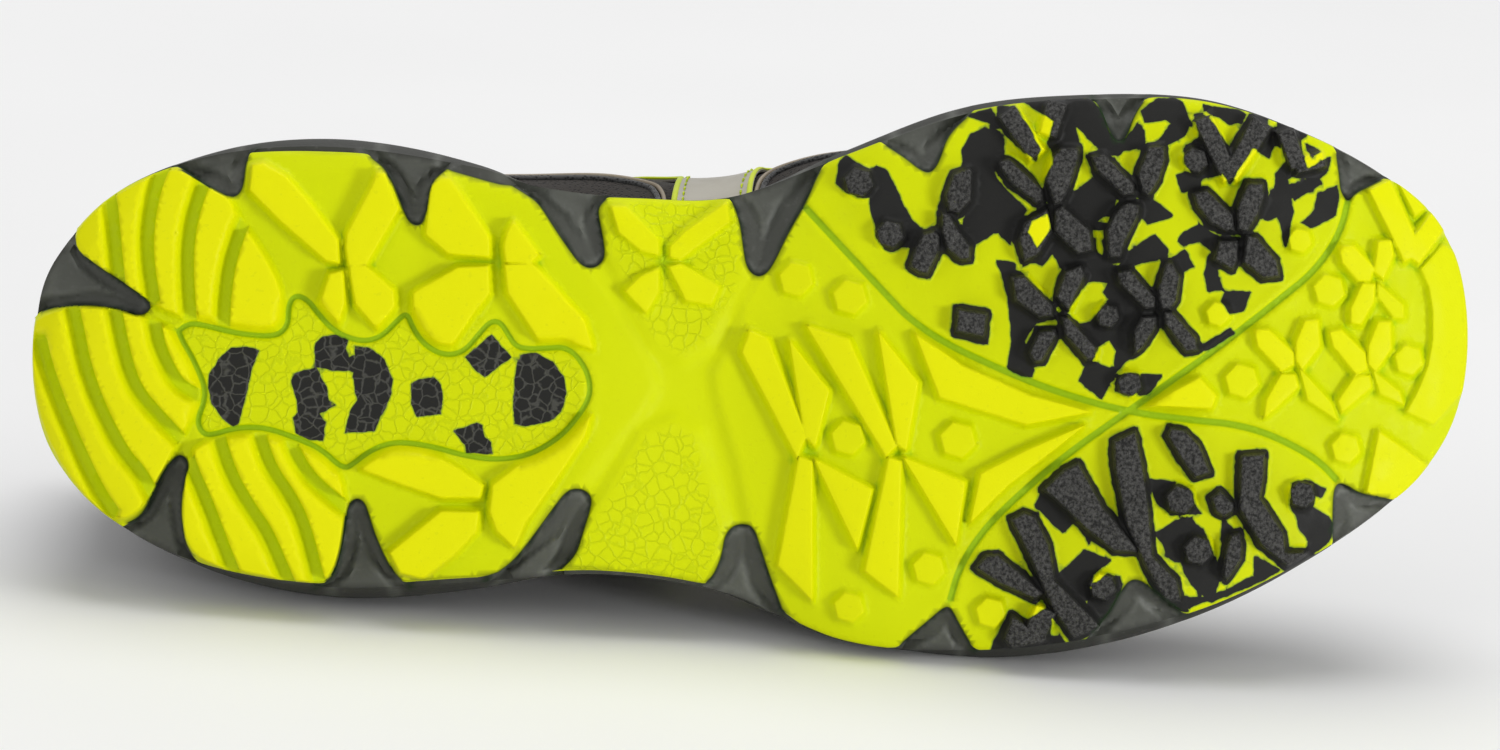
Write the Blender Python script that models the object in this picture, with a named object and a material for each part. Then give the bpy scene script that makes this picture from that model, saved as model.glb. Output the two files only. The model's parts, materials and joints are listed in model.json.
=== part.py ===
"""Trail running shoe for the left foot, lying empty on its outer side.

The shoe is built upright in its own frame: X runs from the heel to the toe, Y to the outer
side and Z up from the ground that the tread stands on. An empty then lays all the pieces
down together, outer side on the floor, toe towards +X and tread towards -Y.
"""

import math

import bmesh
import bpy
import numpy as np
from mathutils import Matrix, Vector
from mathutils.geometry import delaunay_2d_cdt

# Driving sizes, in metres
LENGTH = 0.300
HEEL_WIDTH = 0.0917
WAIST_WIDTH = 0.0820
BALL_WIDTH = 0.1152
HEEL_STACK = 0.0410
BALL_STACK = 0.0275
TOE_SPRING = 0.0130
HEEL_BEVEL = 0.0060
ARCH_LIFT = 0.0030
EDGE_ROLL = 0.0030
LUG_HEIGHT = 0.0040
LUG_DRAFT = 0.0009
RUBBER = 0.0022
OUTSOLE_INSET = 0.0010
NOTCH_SCOOP = 0.0030
NOTCH_RISE = 0.0050
RIM_SETBACK = 0.0040
FOOTBED_DEPTH = 0.0050
INSOLE_THICKNESS = 0.0040
INSOLE_CUP = 0.0015
FIT_GAP = 0.0003
SOLE_GAP = 0.0006
UPPER_WALL = 0.0020
COLLAR_PAD = 0.0035
SPREAD_STEP = 0.0160
TREAD_STEP = 0.0140
TREAD_MARGIN = 0.0050
SIDE_BULGE = 0.0040
ARCH_BULGE = 0.0085
HEEL_TAB_HEIGHT = 0.1000
ANKLE_HEIGHT = 0.0800
INSTEP_HEIGHT = 0.1000
THROAT_HEIGHT = 0.0660
TOE_BOX_HEIGHT = 0.0570
COLLAR_WIDTH = 0.0680
OVERLAY = 0.0012
OVERLAY_SEAT = 0.0006
PANEL_SEAT = 0.0009
TONGUE_THICKNESS = 0.0042
TONGUE_WIDTH = 0.0340
TONGUE_RISE = 0.0240
TONGUE_SWELL = 0.0028
WING_CLEARANCE = 0.0007
VAMP_CLEARANCE = 0.0012
LACE_WIDTH = 0.0062
LACE_THICKNESS = 0.0014
LACE_SEAT = 0.0004

# The tread is drawn on a plan: heel to toe along it, outer side down it, both in plan units
PLAN_HEEL = 25
PLAN_AXIS = 375
PLAN_LENGTH = 1453
PLAN_WIDTH = {"heel": 444, "waist": 397, "ball": 558}
REAL_WIDTH = {"heel": HEEL_WIDTH, "waist": WAIST_WIDTH, "ball": BALL_WIDTH}

# Outline of the sole and of the rim that carries the upper, as shares of the row's width
SOLE_SECTIONS = (
    # station, width, sole inner side, sole outer side, rim inner side, rim outer side
    (0.0000, "heel", -0.038, -0.038, -0.038, -0.038),
    (0.0067, "heel", -0.203, 0.124, -0.172, 0.100),
    (0.0240, "heel", -0.302, 0.228, -0.262, 0.191),
    (0.0580, "heel", -0.412, 0.334, -0.360, 0.284),
    (0.1200, "heel", -0.493, 0.432, -0.436, 0.382),
    (0.2100, "heel", -0.516, 0.484, -0.458, 0.431),
    (0.3100, "heel", -0.475, 0.471, -0.436, 0.425),
    (0.4000, "waist", -0.463, 0.509, -0.436, 0.470),
    (0.4800, "waist", -0.449, 0.554, -0.424, 0.506),
    (0.5600, "ball", -0.395, 0.480, -0.372, 0.430),
    (0.6500, "ball", -0.478, 0.498, -0.447, 0.464),
    (0.7300, "ball", -0.502, 0.478, -0.460, 0.443),
    (0.8100, "ball", -0.498, 0.425, -0.451, 0.382),
    (0.8850, "ball", -0.438, 0.335, -0.399, 0.300),
    (0.9400, "ball", -0.364, 0.243, -0.330, 0.217),
    (0.9740, "ball", -0.294, 0.158, -0.260, 0.130),
    (0.9933, "ball", -0.200, 0.061, -0.180, 0.045),
    (1.0000, "ball", -0.069, -0.069, -0.069, -0.069),
)

# Height of the midsole's rim above the ground line, as a share of the named stack
RIM_HEIGHTS = (
    # station, stack, share
    (0.00, "heel", 1.07),
    (0.10, "heel", 1.00),
    (0.25, "heel", 0.93),
    (0.40, "heel", 0.88),
    (0.50, "heel", 0.82),
    (0.60, "ball", 1.09),
    (0.70, "ball", 1.00),
    (0.80, "ball", 0.97),
    (0.90, "ball", 0.95),
    (1.00, "ball", 0.92),
)
STACK = {"heel": HEEL_STACK, "ball": BALL_STACK}

# Ground line: bevel under the heel, lift under the arch and spring under the toe
BEVEL_END = 0.12
ARCH_SPAN = (0.38, 0.60)
SPRING_START = 0.76
SPRING_POWER = 1.8
ROLL = (
    # distance in from the outline, share of the roll
    (0.0000, 1.00),
    (0.0055, 0.30),
    (0.0140, 0.00),
)

# Side of the midsole from its lower edge to its rim
MIDSOLE_SIDE = (
    # share of the height, share of the way to the rim outline, bulge in metres
    (0.00, 0.00, 0.0000),
    (0.12, 0.00, 0.0009),
    (0.42, 0.15, 0.0010),
    (0.50, 0.20, -0.0004),
    (0.60, 0.32, 0.0006),
    (0.86, 0.80, 0.0008),
    (1.00, 1.00, 0.0000),
)

# Notches that the outsole leaves for the foam, on the tread plan
NOTCHES = (
    # side, mouth start, mouth end, tip along, tip across
    ("inner", 33, 74, 150, 307),
    ("inner", 178, 243, 236, 196),
    ("inner", 380, 437, 416, 226),
    ("inner", 508, 600, 595, 270),
    ("inner", 737, 822, 757, 277),
    ("inner", 880, 972, 930, 173),
    ("inner", 1090, 1155, 1121, 141),
    ("inner", 1337, 1388, 1352, 201),
    ("outer", 125, 190, 181, 456),
    ("outer", 332, 408, 355, 499),
    ("outer", 500, 572, 588, 487),
    ("outer", 705, 778, 741, 525),
    ("outer", 898, 975, 947, 606),
    ("outer", 1100, 1185, 1136, 580),
    ("outer", 1344, 1398, 1346, 487),
)
MIDSOLE_STATIONS = 25
TIP_ROUNDING = 0.16
TIP_POINTS = 3

# Tread: clusters of four blades, hexagonal studs, bars, blocks and pods, on the plan
CLUSTER_BLADES = (
    # along, across, turn in degrees, length, width
    (-26, -22, 47, 58, 27),
    (18, -25, -68, 52, 24),
    (-17, 36, -60, 54, 22),
    (28, 28, 50, 58, 24),
)
CLUSTERS = (
    # along, across, scale, share of the lug height
    (1046, 204, 0.98, 1.0),
    (1139, 201, 0.98, 1.0),
    (1054, 316, 0.92, 1.0),
    (1156, 306, 0.95, 1.0),
    (1240, 232, 0.98, 1.0),
    (941, 235, 0.88, 1.0),
    (1381, 282, 0.72, 0.7),
    (1299, 374, 0.85, 0.7),
    (1373, 373, 0.85, 0.7),
)
STUDS = (
    # along, across, radius, share of the lug height
    (796, 281, 18, 0.5),
    (851, 299, 18, 0.5),
    (848, 438, 17, 0.5),
    (958, 440, 18, 0.5),
    (929, 569, 16, 0.5),
    (849, 608, 15, 0.5),
    (991, 613, 15, 0.5),
    (1335, 294, 16, 0.5),
    (1418, 362, 16, 0.5),
    (1304, 240, 12, 0.5),
    (1217, 322, 12, 0.5),
    (1240, 388, 16, 0.5),
    (1345, 452, 16, 0.5),
    (890, 233, 13, 0.8),
    (857, 182, 16, 0.8),
    (974, 320, 14, 0.8),
    (1108, 316, 13, 0.8),
    (1130, 384, 13, 0.8),
    (1196, 160, 12, 0.8),
    (1181, 500, 14, 0.8),
    (1199, 551, 14, 0.8),
    (1304, 495, 13, 0.8),
    (1103, 587, 13, 0.8),
)
BARS = (
    # start along, start across, end along, end across, start width, end width, height share
    (1125, 433, 1139, 530, 24, 26, 1.0),
    (1136, 520, 1176, 604, 26, 24, 1.0),
    (1060, 473, 1126, 551, 34, 24, 1.0),
    (1024, 518, 1084, 634, 20, 22, 1.0),
    (982, 562, 1042, 596, 24, 20, 1.0),
    (1172, 434, 1208, 478, 22, 18, 1.0),
    (1252, 455, 1251, 512, 26, 26, 1.0),
    (1249, 504, 1294, 562, 26, 24, 1.0),
    (1217, 493, 1237, 517, 18, 18, 1.0),
    (1241, 534, 1230, 576, 20, 18, 1.0),
    (1046, 610, 1034, 638, 20, 20, 1.0),
    (1008, 112, 1037, 154, 20, 18, 1.0),
    (1058, 102, 1048, 134, 20, 18, 1.0),
    (1204, 118, 1231, 178, 18, 14, 1.0),
    (1231, 176, 1264, 122, 14, 20, 1.0),
    (1288, 130, 1300, 166, 16, 14, 1.0),
    (1298, 165, 1326, 158, 14, 14, 1.0),
    (1386, 194, 1418, 254, 16, 14, 0.8),
    (1416, 254, 1440, 238, 14, 14, 0.8),
    (1385, 436, 1374, 484, 10, 12, 0.6),
    (1385, 436, 1424, 460, 10, 12, 0.6),
)
BLOCKS = (
    # share of the lug height, then the corners, on the plan
    (0.8, ((750, 331), (768, 339), (806, 436), (797, 457), (742, 352))),
    (0.8, ((790, 341), (829, 391), (815, 446), (805, 436))),
    (0.8, ((799, 457), (812, 462), (812, 600), (778, 566))),
    (0.8, ((815, 460), (872, 490), (857, 548))),
    (0.8, ((807, 326), (849, 340), (896, 446), (886, 456))),
    (0.8, ((879, 333), (918, 383), (906, 450), (897, 444))),
    (0.8, ((889, 458), (901, 462), (898, 596), (865, 571))),
    (0.8, ((904, 458), (965, 483), (956, 544))),
    (0.8, ((916, 334), (962, 366), (1030, 396), (1090, 412), (1026, 424), (940, 397))),
    (0.8, ((971, 522), (981, 474), (1028, 450), (1084, 426), (1046, 456), (1008, 485))),
    (0.8, ((1150, 405), (1200, 378), (1216, 396), (1212, 408))),
    (1.0, ((248, 171), (281, 162), (335, 233), (335, 259), (306, 244), (248, 196))),
    (1.0, ((347, 236), (383, 163), (396, 210), (367, 257), (349, 257))),
    (1.0, ((332, 274), (343, 273), (345, 306), (335, 330), (321, 318))),
    (1.0, ((350, 268), (364, 268), (392, 296), (390, 332), (356, 308))),
    (1.0, ((428, 192), (443, 178), (487, 230), (487, 253), (456, 251), (425, 228))),
    (1.0, ((505, 255), (514, 224), (536, 253))),
    (1.0, ((417, 296), (487, 270), (487, 289), (445, 344), (417, 323))),
    (1.0, ((505, 268), (533, 268), (579, 325), (583, 344), (543, 340), (508, 293))),
    (1.0, ((358, 470), (405, 444), (477, 486), (477, 499), (437, 497))),
    (1.0, ((388, 546), (437, 516), (477, 516), (477, 530), (428, 574), (392, 570))),
    (1.0, ((493, 508), (516, 474), (582, 425), (584, 436), (560, 480), (509, 549))),
    (0.6, ((606, 204), (623, 203), (657, 239), (657, 254), (647, 252), (612, 224))),
    (0.6, ((670, 240), (724, 205), (727, 225), (683, 257), (671, 257))),
    (0.6, ((632, 281), (659, 271), (659, 302), (654, 311))),
    (0.6, ((672, 266), (679, 266), (716, 291), (700, 319), (677, 294))),
)
PODS = (
    # the heel's raised pods, on the plan
    (
        *((80, 236), (112, 205), (170, 177), (228, 210), (272, 272)),
        *((284, 312), (280, 328), (230, 326), (185, 316), (152, 302)),
    ),
    (
        *((36, 318), (70, 311), (120, 315), (155, 327), (182, 354), (192, 392)),
        *((176, 432), (160, 460), (126, 518), (62, 455), (33, 390)),
    ),
    (
        *((197, 556), (194, 468), (207, 434), (250, 432), (300, 449)),
        *((335, 490), (341, 520), (330, 572), (262, 576)),
    ),
)
GROOVE_WIDTH = 9
GROOVES = (
    # channels cut across the pods, on the plan
    ((98, 196), (108, 235), (113, 284)),
    ((160, 168), (139, 225), (150, 306)),
    ((200, 182), (182, 245), (186, 322)),
    ((240, 220), (222, 268), (222, 330)),
    ((40, 350), (62, 414), (108, 512)),
    ((76, 306), (92, 380), (150, 484)),
    ((112, 308), (126, 382), (178, 440)),
    ((150, 320), (166, 378), (194, 396)),
    ((190, 452), (204, 508), (232, 580)),
    ((222, 430), (243, 494), (285, 580)),
    ((258, 430), (275, 484), (322, 576)),
    ((296, 446), (322, 492), (338, 530)),
)
GROOVE_SHARE = 0.15

# Upper, from its foot on the rim to its top edge: the collar, the throat, then the ridge of
# the vamp. Widths are shares of COLLAR_WIDTH, centres of BALL_WIDTH, heights of the named one
UPPER_SECTIONS = (
    # foot station, top station, opening half width, centre, height, share, lean in degrees
    (0.000, 0.030, 0.000, -0.030, "heel tab", 1.000, 82),
    (0.010, 0.034, 0.130, -0.030, "heel tab", 1.000, 82),
    (0.030, 0.050, 0.250, -0.030, "heel tab", 0.985, 82),
    (0.080, 0.092, 0.400, -0.026, "heel tab", 0.910, 82),
    (0.150, 0.150, 0.475, -0.022, "ankle", 1.020, 80),
    (0.220, 0.215, 0.500, -0.020, "ankle", 1.000, 78),
    (0.290, 0.280, 0.475, -0.020, "ankle", 1.070, 72),
    (0.350, 0.335, 0.400, -0.025, "instep", 0.965, 60),
    (0.390, 0.372, 0.335, -0.032, "instep", 0.985, 48),
    (0.450, 0.430, 0.275, -0.042, "instep", 0.910, 38),
    (0.520, 0.500, 0.235, -0.052, "instep", 0.810, 30),
    (0.600, 0.585, 0.200, -0.058, "instep", 0.700, 22),
    (0.650, 0.640, 0.140, -0.064, "throat", 0.985, 12),
    (0.670, 0.662, 0.000, -0.067, "throat", 0.960, 0),
    (0.740, 0.722, 0.000, -0.078, "throat", 0.900, 0),
    (0.820, 0.790, 0.000, -0.090, "toe box", 0.995, 0),
    (0.900, 0.860, 0.000, -0.100, "toe box", 0.970, 0),
    (0.960, 0.920, 0.000, -0.100, "toe box", 0.925, 0),
    (1.000, 0.958, 0.000, -0.090, "toe box", 0.860, 0),
)
TOP_HEIGHT = {
    "heel tab": HEEL_TAB_HEIGHT,
    "ankle": ANKLE_HEIGHT,
    "instep": INSTEP_HEIGHT,
    "throat": THROAT_HEIGHT,
    "toe box": TOE_BOX_HEIGHT,
}
ARCH_MIDDLE = 0.455
ARCH_REACH = 0.160
COLLAR_FRONT = 0.390
THROAT_FRONT = 0.670
PAD_SPAN = (0.33, 0.45)
PAD_START = 0.45
LIP_THINNING = 0.45
UPPER_STATIONS = 30
UPPER_ROWS = 9

EYELET_STATIONS = (0.640, 0.600, 0.560, 0.520, 0.480, 0.440)
EYELET_ROW = 0.88
OVERLAY_LOW = 0.03
LACING_RIM = 0.66

DENSITY = {
    "outsole": 1150,
    "midsole": 220,
    "insole": 200,
    "upper": 520,
    "tongue": 260,
}
TRIM_DENSITY = 900


def curve_through(keys, values):
    """Smooth curve through the values, as a function of the key."""
    keys = np.asarray(keys, float)
    values = np.asarray(values, float)
    slopes = np.gradient(values, keys)

    def at(key):
        key = np.clip(key, keys[0], keys[-1])
        index = np.clip(np.searchsorted(keys, key, side="right") - 1, 0, len(keys) - 2)
        span = keys[index + 1] - keys[index]
        share = (key - keys[index]) / span
        rest = 1 - share
        return (
            values[index] * (1 + 2 * share) * rest**2
            + slopes[index] * span * share * rest**2
            + values[index + 1] * (3 - 2 * share) * share**2
            - slopes[index + 1] * span * share**2 * rest
        )

    return at


def column(table, index):
    return [row[index] for row in table]


def turn_of(station):
    """Angle round the outline at which a station lies: even steps of it round both ends off."""
    return np.arccos(1 - 2 * np.clip(station, 0, 1))


def soft_step(value):
    value = np.clip(value, 0, 1)
    return value * value * (3 - 2 * value)


def outline_curve(index, widths):
    shares = [row[index] * widths[row[1]] for row in SOLE_SECTIONS]
    return curve_through(turn_of(column(SOLE_SECTIONS, 0)), shares)


SOLE_INNER = outline_curve(2, REAL_WIDTH)
SOLE_OUTER = outline_curve(3, REAL_WIDTH)
RIM_INNER = outline_curve(4, REAL_WIDTH)
RIM_OUTER = outline_curve(5, REAL_WIDTH)
PLAN_INNER = outline_curve(2, PLAN_WIDTH)
PLAN_OUTER = outline_curve(3, PLAN_WIDTH)
RIM_ABOVE = curve_through(
    column(RIM_HEIGHTS, 0), [share * STACK[stack] for _, stack, share in RIM_HEIGHTS]
)


def ground(station):
    """Height of the tread's contact line at a station."""
    station = np.clip(station, 0, 1)
    heel = HEEL_BEVEL * np.clip((BEVEL_END - station) / BEVEL_END, 0, 1) ** 2
    arch_share = np.clip((station - ARCH_SPAN[0]) / (ARCH_SPAN[1] - ARCH_SPAN[0]), 0, 1)
    arch = ARCH_LIFT * np.sin(math.pi * arch_share) ** 2
    spring_share = np.clip((station - SPRING_START) / (1 - SPRING_START), 0, 1)
    return heel + arch + TOE_SPRING * spring_share**SPRING_POWER


def outline_loop(inner, outer, setback, inset, count):
    """Anticlockwise loop that keeps inside an outline by a distance."""
    loop = []
    for side, curve, turns in (
        ("inner", inner, np.linspace(0, math.pi, count + 1)[:-1]),
        ("outer", outer, np.linspace(math.pi, 0, count + 1)[:-1]),
    ):
        for turn in turns:
            x = setback + (LENGTH - 2 * setback) * (1 - math.cos(turn)) / 2
            point = np.array([x, float(curve(turn))])
            loop.append(point - outward_at(curve, turn, side) * inset)
    return np.array(loop)


def outward_at(curve, turn, side):
    """Level direction out of an outline at a turn."""
    step = 0.01
    if turn < step or turn > math.pi - step:
        return np.array([-1.0 if turn < step else 1.0, 0.0])
    turns = np.array([turn - step, turn + step])
    ends = np.stack([LENGTH * (1 - np.cos(turns)) / 2, curve(turns)], axis=1)
    tangent = ends[1] - ends[0]
    tangent /= np.linalg.norm(tangent)
    return np.array([tangent[1], -tangent[0]]) * (1 if side == "inner" else -1)


def sole_loop(inset, count):
    return outline_loop(SOLE_INNER, SOLE_OUTER, 0, inset, count)


def sole_bands():
    """Loops under the sole where its rolled edge changes slope, shared by rubber and foam."""
    return [sole_loop(inset, count) for (inset, _), count in zip(ROLL[1:], (42, 30))]


def tread_floor(x, y):
    """Height of the outsole's lower skin between the lugs."""
    points = np.stack([np.ravel(x), np.ravel(y)], axis=1)
    near = distance_to(points, SOLE_EDGE)
    roll = EDGE_ROLL * np.interp(near, column(ROLL, 0), column(ROLL, 1))
    return ground(points[:, 0] / LENGTH) + roll + LUG_HEIGHT


def from_plan(along, across):
    """Place on the shoe of a point of the tread plan, in the same share of the outline."""
    station = (along - PLAN_HEEL) / PLAN_LENGTH
    turn = turn_of(np.clip(station, 0.004, 0.996))
    plan_inner, plan_outer = PLAN_INNER(turn), PLAN_OUTER(turn)
    share = (across - PLAN_AXIS - (plan_inner + plan_outer) / 2) / (plan_outer - plan_inner)
    inner, outer = SOLE_INNER(turn), SOLE_OUTER(turn)
    return np.array([station * LENGTH, (inner + outer) / 2 + share * (outer - inner)])


def plan_loop(corners):
    """Corners of the plan as a loop on the shoe that runs anticlockwise."""
    loop = np.array([from_plan(*corner) for corner in corners])
    following = np.roll(loop, -1, axis=0)
    area = np.sum(loop[:, 0] * following[:, 1] - following[:, 0] * loop[:, 1])
    return loop if area > 0 else loop[::-1]


def offset_loop(loop, distance):
    """The anticlockwise loop moved outwards by a distance, its corners mitred."""
    before = loop - np.roll(loop, 1, axis=0)
    after = np.roll(loop, -1, axis=0) - loop
    before /= np.linalg.norm(before, axis=1)[:, None]
    after /= np.linalg.norm(after, axis=1)[:, None]
    normal_before = np.stack([before[:, 1], -before[:, 0]], axis=1)
    normal_after = np.stack([after[:, 1], -after[:, 0]], axis=1)
    mitre = normal_before + normal_after
    lengths = np.maximum(np.sum(mitre * normal_after, axis=1), 0.35)
    return loop + mitre / lengths[:, None] * distance


def inside_loop(points, loop):
    x, y = points[:, 0], points[:, 1]
    inside = np.zeros(len(points), bool)
    for (ax, ay), (bx, by) in zip(loop, np.roll(loop, -1, axis=0)):
        crosses = (ay > y) != (by > y)
        if by != ay:
            inside ^= crosses & (x < ax + (y - ay) * (bx - ax) / (by - ay))
    return inside


def distance_to(points, loop):
    """Distance of each point from the line of the loop."""
    nearest = np.full(len(points), np.inf)
    for start, end in zip(loop, np.roll(loop, -1, axis=0)):
        edge = end - start
        share = np.clip((points - start) @ edge / (edge @ edge), 0, 1)
        gap = points - (start + share[:, None] * edge)
        nearest = np.minimum(nearest, np.hypot(gap[:, 0], gap[:, 1]))
    return nearest


def distance_outside(points, loop):
    """Distance of each point outside the loop, and 0 for the points in it."""
    return np.where(inside_loop(points, loop), 0, distance_to(points, loop))


SOLE_EDGE = sole_loop(0, 60)


def blade(along, across, turn, length, width):
    """Elongated hexagon with blunt ends, on the plan."""
    cosine, sine = math.cos(math.radians(turn)), math.sin(math.radians(turn))
    half, side, end = length / 2, width / 2, width / 4
    corners = (
        (-half, -end),
        (-half * 0.35, -side),
        (half, -side * 0.8),
        (half, end),
        (half * 0.35, side),
        (-half, side * 0.8),
    )
    return [(along + x * cosine - y * sine, across + x * sine + y * cosine) for x, y in corners]


def stud(along, across, radius):
    angles = [math.radians(60 * step + 15) for step in range(6)]
    return [(along + radius * math.cos(a), across + radius * math.sin(a)) for a in angles]


def bar(start_along, start_across, end_along, end_across, start_width, end_width):
    run = np.array([end_along - start_along, end_across - start_across], float)
    side = np.array([-run[1], run[0]]) / np.linalg.norm(run) / 2
    start = np.array([start_along, start_across], float)
    end = np.array([end_along, end_across], float)
    return [
        start - side * start_width,
        end - side * end_width,
        end + side * end_width,
        start + side * start_width,
    ]


def channel(points, width):
    """Outline of a channel of a width along a line of plan points."""
    line = np.array(points, float)
    tangent = np.gradient(line, axis=0)
    normal = np.stack([-tangent[:, 1], tangent[:, 0]], axis=1)
    normal /= np.linalg.norm(normal, axis=1)[:, None]
    return list(line + normal * width / 2) + list((line - normal * width / 2)[::-1])


def tread_features():
    """Raised and cut loops of the tread, each with its share of the lug height."""
    raised = []
    for along, across, scale, share in CLUSTERS:
        for step_along, step_across, turn, length, width in CLUSTER_BLADES:
            centre = (along + step_along * scale, across + step_across * scale)
            raised.append((blade(*centre, turn, length * scale, width * scale), share))
    raised += [(stud(*row[:3]), row[3]) for row in STUDS]
    raised += [(bar(*row[:6]), row[6]) for row in BARS]
    raised += [(corners, share) for share, corners in BLOCKS]
    raised += [(corners, 1.0) for corners in PODS]
    cut = [(channel(points, GROOVE_WIDTH), GROOVE_SHARE) for points in GROOVES]
    return (
        [(plan_loop(corners), share) for corners, share in raised],
        [(plan_loop(corners), share) for corners, share in cut],
    )


def tread_height(points, raised, cut):
    """Height of the lugs above the skin at each point."""
    height = np.zeros(len(points))
    for loop, share in raised:
        near = distance_outside(points, loop)
        height = np.maximum(height, share * LUG_HEIGHT * np.clip(1 - near / LUG_DRAFT, 0, 1))
    for loop, share in cut:
        near = distance_outside(points, loop)
        limit = LUG_HEIGHT * (share + (1 - share) * np.clip(near / LUG_DRAFT, 0, 1))
        height = np.where(near < LUG_DRAFT, np.minimum(height, limit), height)
    return height


def sole_edge(side, along, inset):
    """Point of the sole's outline at a plan length, moved inwards."""
    station = np.clip((along - PLAN_HEEL) / PLAN_LENGTH, 0, 1)
    curve = SOLE_INNER if side == "inner" else SOLE_OUTER
    step = 0.01
    turns = turn_of(station) + np.array([-step, step])
    ends = np.stack([LENGTH * (1 - np.cos(turns)) / 2, curve(turns)], axis=1)
    tangent = ends[1] - ends[0]
    tangent /= np.linalg.norm(tangent)
    outward = np.array([tangent[1], -tangent[0]]) * (1 if side == "inner" else -1)
    return np.array([station * LENGTH, float(curve(turn_of(station)))]) - outward * inset


def notched_outline(inset, edge_points):
    """Outline of the outsole, with a rounded notch wherever the foam shows."""
    loop = []
    for side in ("inner", "outer"):
        turns = np.linspace(0.06, math.pi - 0.06, edge_points)
        alongs = PLAN_HEEL + PLAN_LENGTH * (1 - np.cos(turns)) / 2
        notches = [row for row in NOTCHES if row[0] == side]
        path = []
        for along in alongs:
            if not any(start - 6 < along < end + 6 for _, start, end, _, _ in notches):
                path.append((along, [sole_edge(side, along, inset)]))
        for _, start, end, tip_along, tip_across in notches:
            tip = from_plan(tip_along, tip_across)
            first, last = sole_edge(side, start, inset), sole_edge(side, end, inset)
            rounded = []
            for step in range(TIP_POINTS + 1):
                share = step / TIP_POINTS
                come = tip + (first - tip) * TIP_ROUNDING * (1 - share) ** 2
                rounded.append(come + (last - tip) * TIP_ROUNDING * share**2)
            path.append(((start + end) / 2, [first, *rounded, last]))
        path.sort(key=lambda item: item[0])
        points = [point for _, group in path for point in group]
        loop += points if side == "inner" else points[::-1]
    loop = np.array(loop)[::-1]
    return loop if signed_area(loop) > 0 else loop[::-1]


def signed_area(loop):
    following = np.roll(loop, -1, axis=0)
    return np.sum(loop[:, 0] * following[:, 1] - following[:, 0] * loop[:, 1]) / 2


def triangulated(boundary, loops, points):
    """Triangles inside the boundary that keep the edges of every loop."""
    coords, edges = [], []
    for loop in [boundary, *loops]:
        first = len(coords)
        count = len(loop)
        coords += [Vector(point) for point in loop]
        edges += [(first + i, first + (i + 1) % count) for i in range(count)]
    coords += [Vector(point) for point in points]
    found, _, faces, _, _, _ = delaunay_2d_cdt(coords, edges, [], 0, 1e-6)
    flat = np.array([list(point) for point in found])
    centres = np.array([flat[list(face)].mean(axis=0) for face in faces])
    kept = inside_loop(centres, boundary)
    return flat, [tuple(face) for face, keep in zip(faces, kept) if keep]


def triangulated_union(loops):
    """Triangles that lie in at least one of the loops."""
    low = np.min([loop.min(axis=0) for loop in loops], axis=0) - 0.01
    high = np.max([loop.max(axis=0) for loop in loops], axis=0) + 0.01
    frame = np.array([low, (high[0], low[1]), high, (low[0], high[1])])
    flat, faces = triangulated(frame, loops, [])
    centres = np.array([flat[list(face)].mean(axis=0) for face in faces])
    kept = np.zeros(len(faces), bool)
    for loop in loops:
        kept |= inside_loop(centres, loop)
    faces = [face for face, keep in zip(faces, kept) if keep]
    used = sorted({i for face in faces for i in face})
    place = {i: k for k, i in enumerate(used)}
    return flat[used], [tuple(place[i] for i in face) for face in faces]


def open_edges(faces):
    """Directed edges that only one face has."""
    directed = {(face[i], face[(i + 1) % len(face)]) for face in faces for i in range(len(face))}
    return [(a, b) for a, b in directed if (b, a) not in directed]


def loop_of(edges):
    """The directed edges as one loop of indices."""
    following = dict(edges)
    start = edges[0][0]
    loop = [start]
    while following[loop[-1]] != start:
        loop.append(following[loop[-1]])
    return loop


def wall_faces(edge, places, other, other_places):
    """Faces between a loop and one above it that may have more points on the same sides."""
    where = [int(np.argmin(np.hypot(*(other_places - places[i]).T))) for i in edge]
    faces = []
    for index, vertex in enumerate(edge):
        after = (index + 1) % len(edge)
        first, last = where[index], where[after]
        steps = (last - first) % len(other)
        chain = [other[(first + step) % len(other)] for step in range(steps + 1)]
        faces.append((vertex, edge[after], *chain[::-1]))
    return faces


def grid_points(step, inner_margin):
    """Points spread over the sole, off its edge."""
    found = []
    for x in np.arange(step, LENGTH, step):
        turn = turn_of(x / LENGTH)
        low, high = SOLE_INNER(turn) + inner_margin, SOLE_OUTER(turn) - inner_margin
        count = int((high - low) / step)
        if count > 1:
            found += [(x, y) for y in np.linspace(low, high, count)]
    return np.array(found)


def clear_of(points, loops, margin):
    """The points that keep a margin from every loop and lie in none."""
    kept = np.ones(len(points), bool)
    for loop in loops:
        kept &= distance_outside(points, loop) > margin
    return points[kept]


def material(name, colour, roughness):
    made = bpy.data.materials.new(name)
    made.use_nodes = True
    shader = made.node_tree.nodes["Principled BSDF"]
    shader.inputs["Base Color"].default_value = (*colour, 1)
    shader.inputs["Roughness"].default_value = roughness
    shader.inputs["Metallic"].default_value = 0
    made.diffuse_color = (*colour, 1)
    return made


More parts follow.
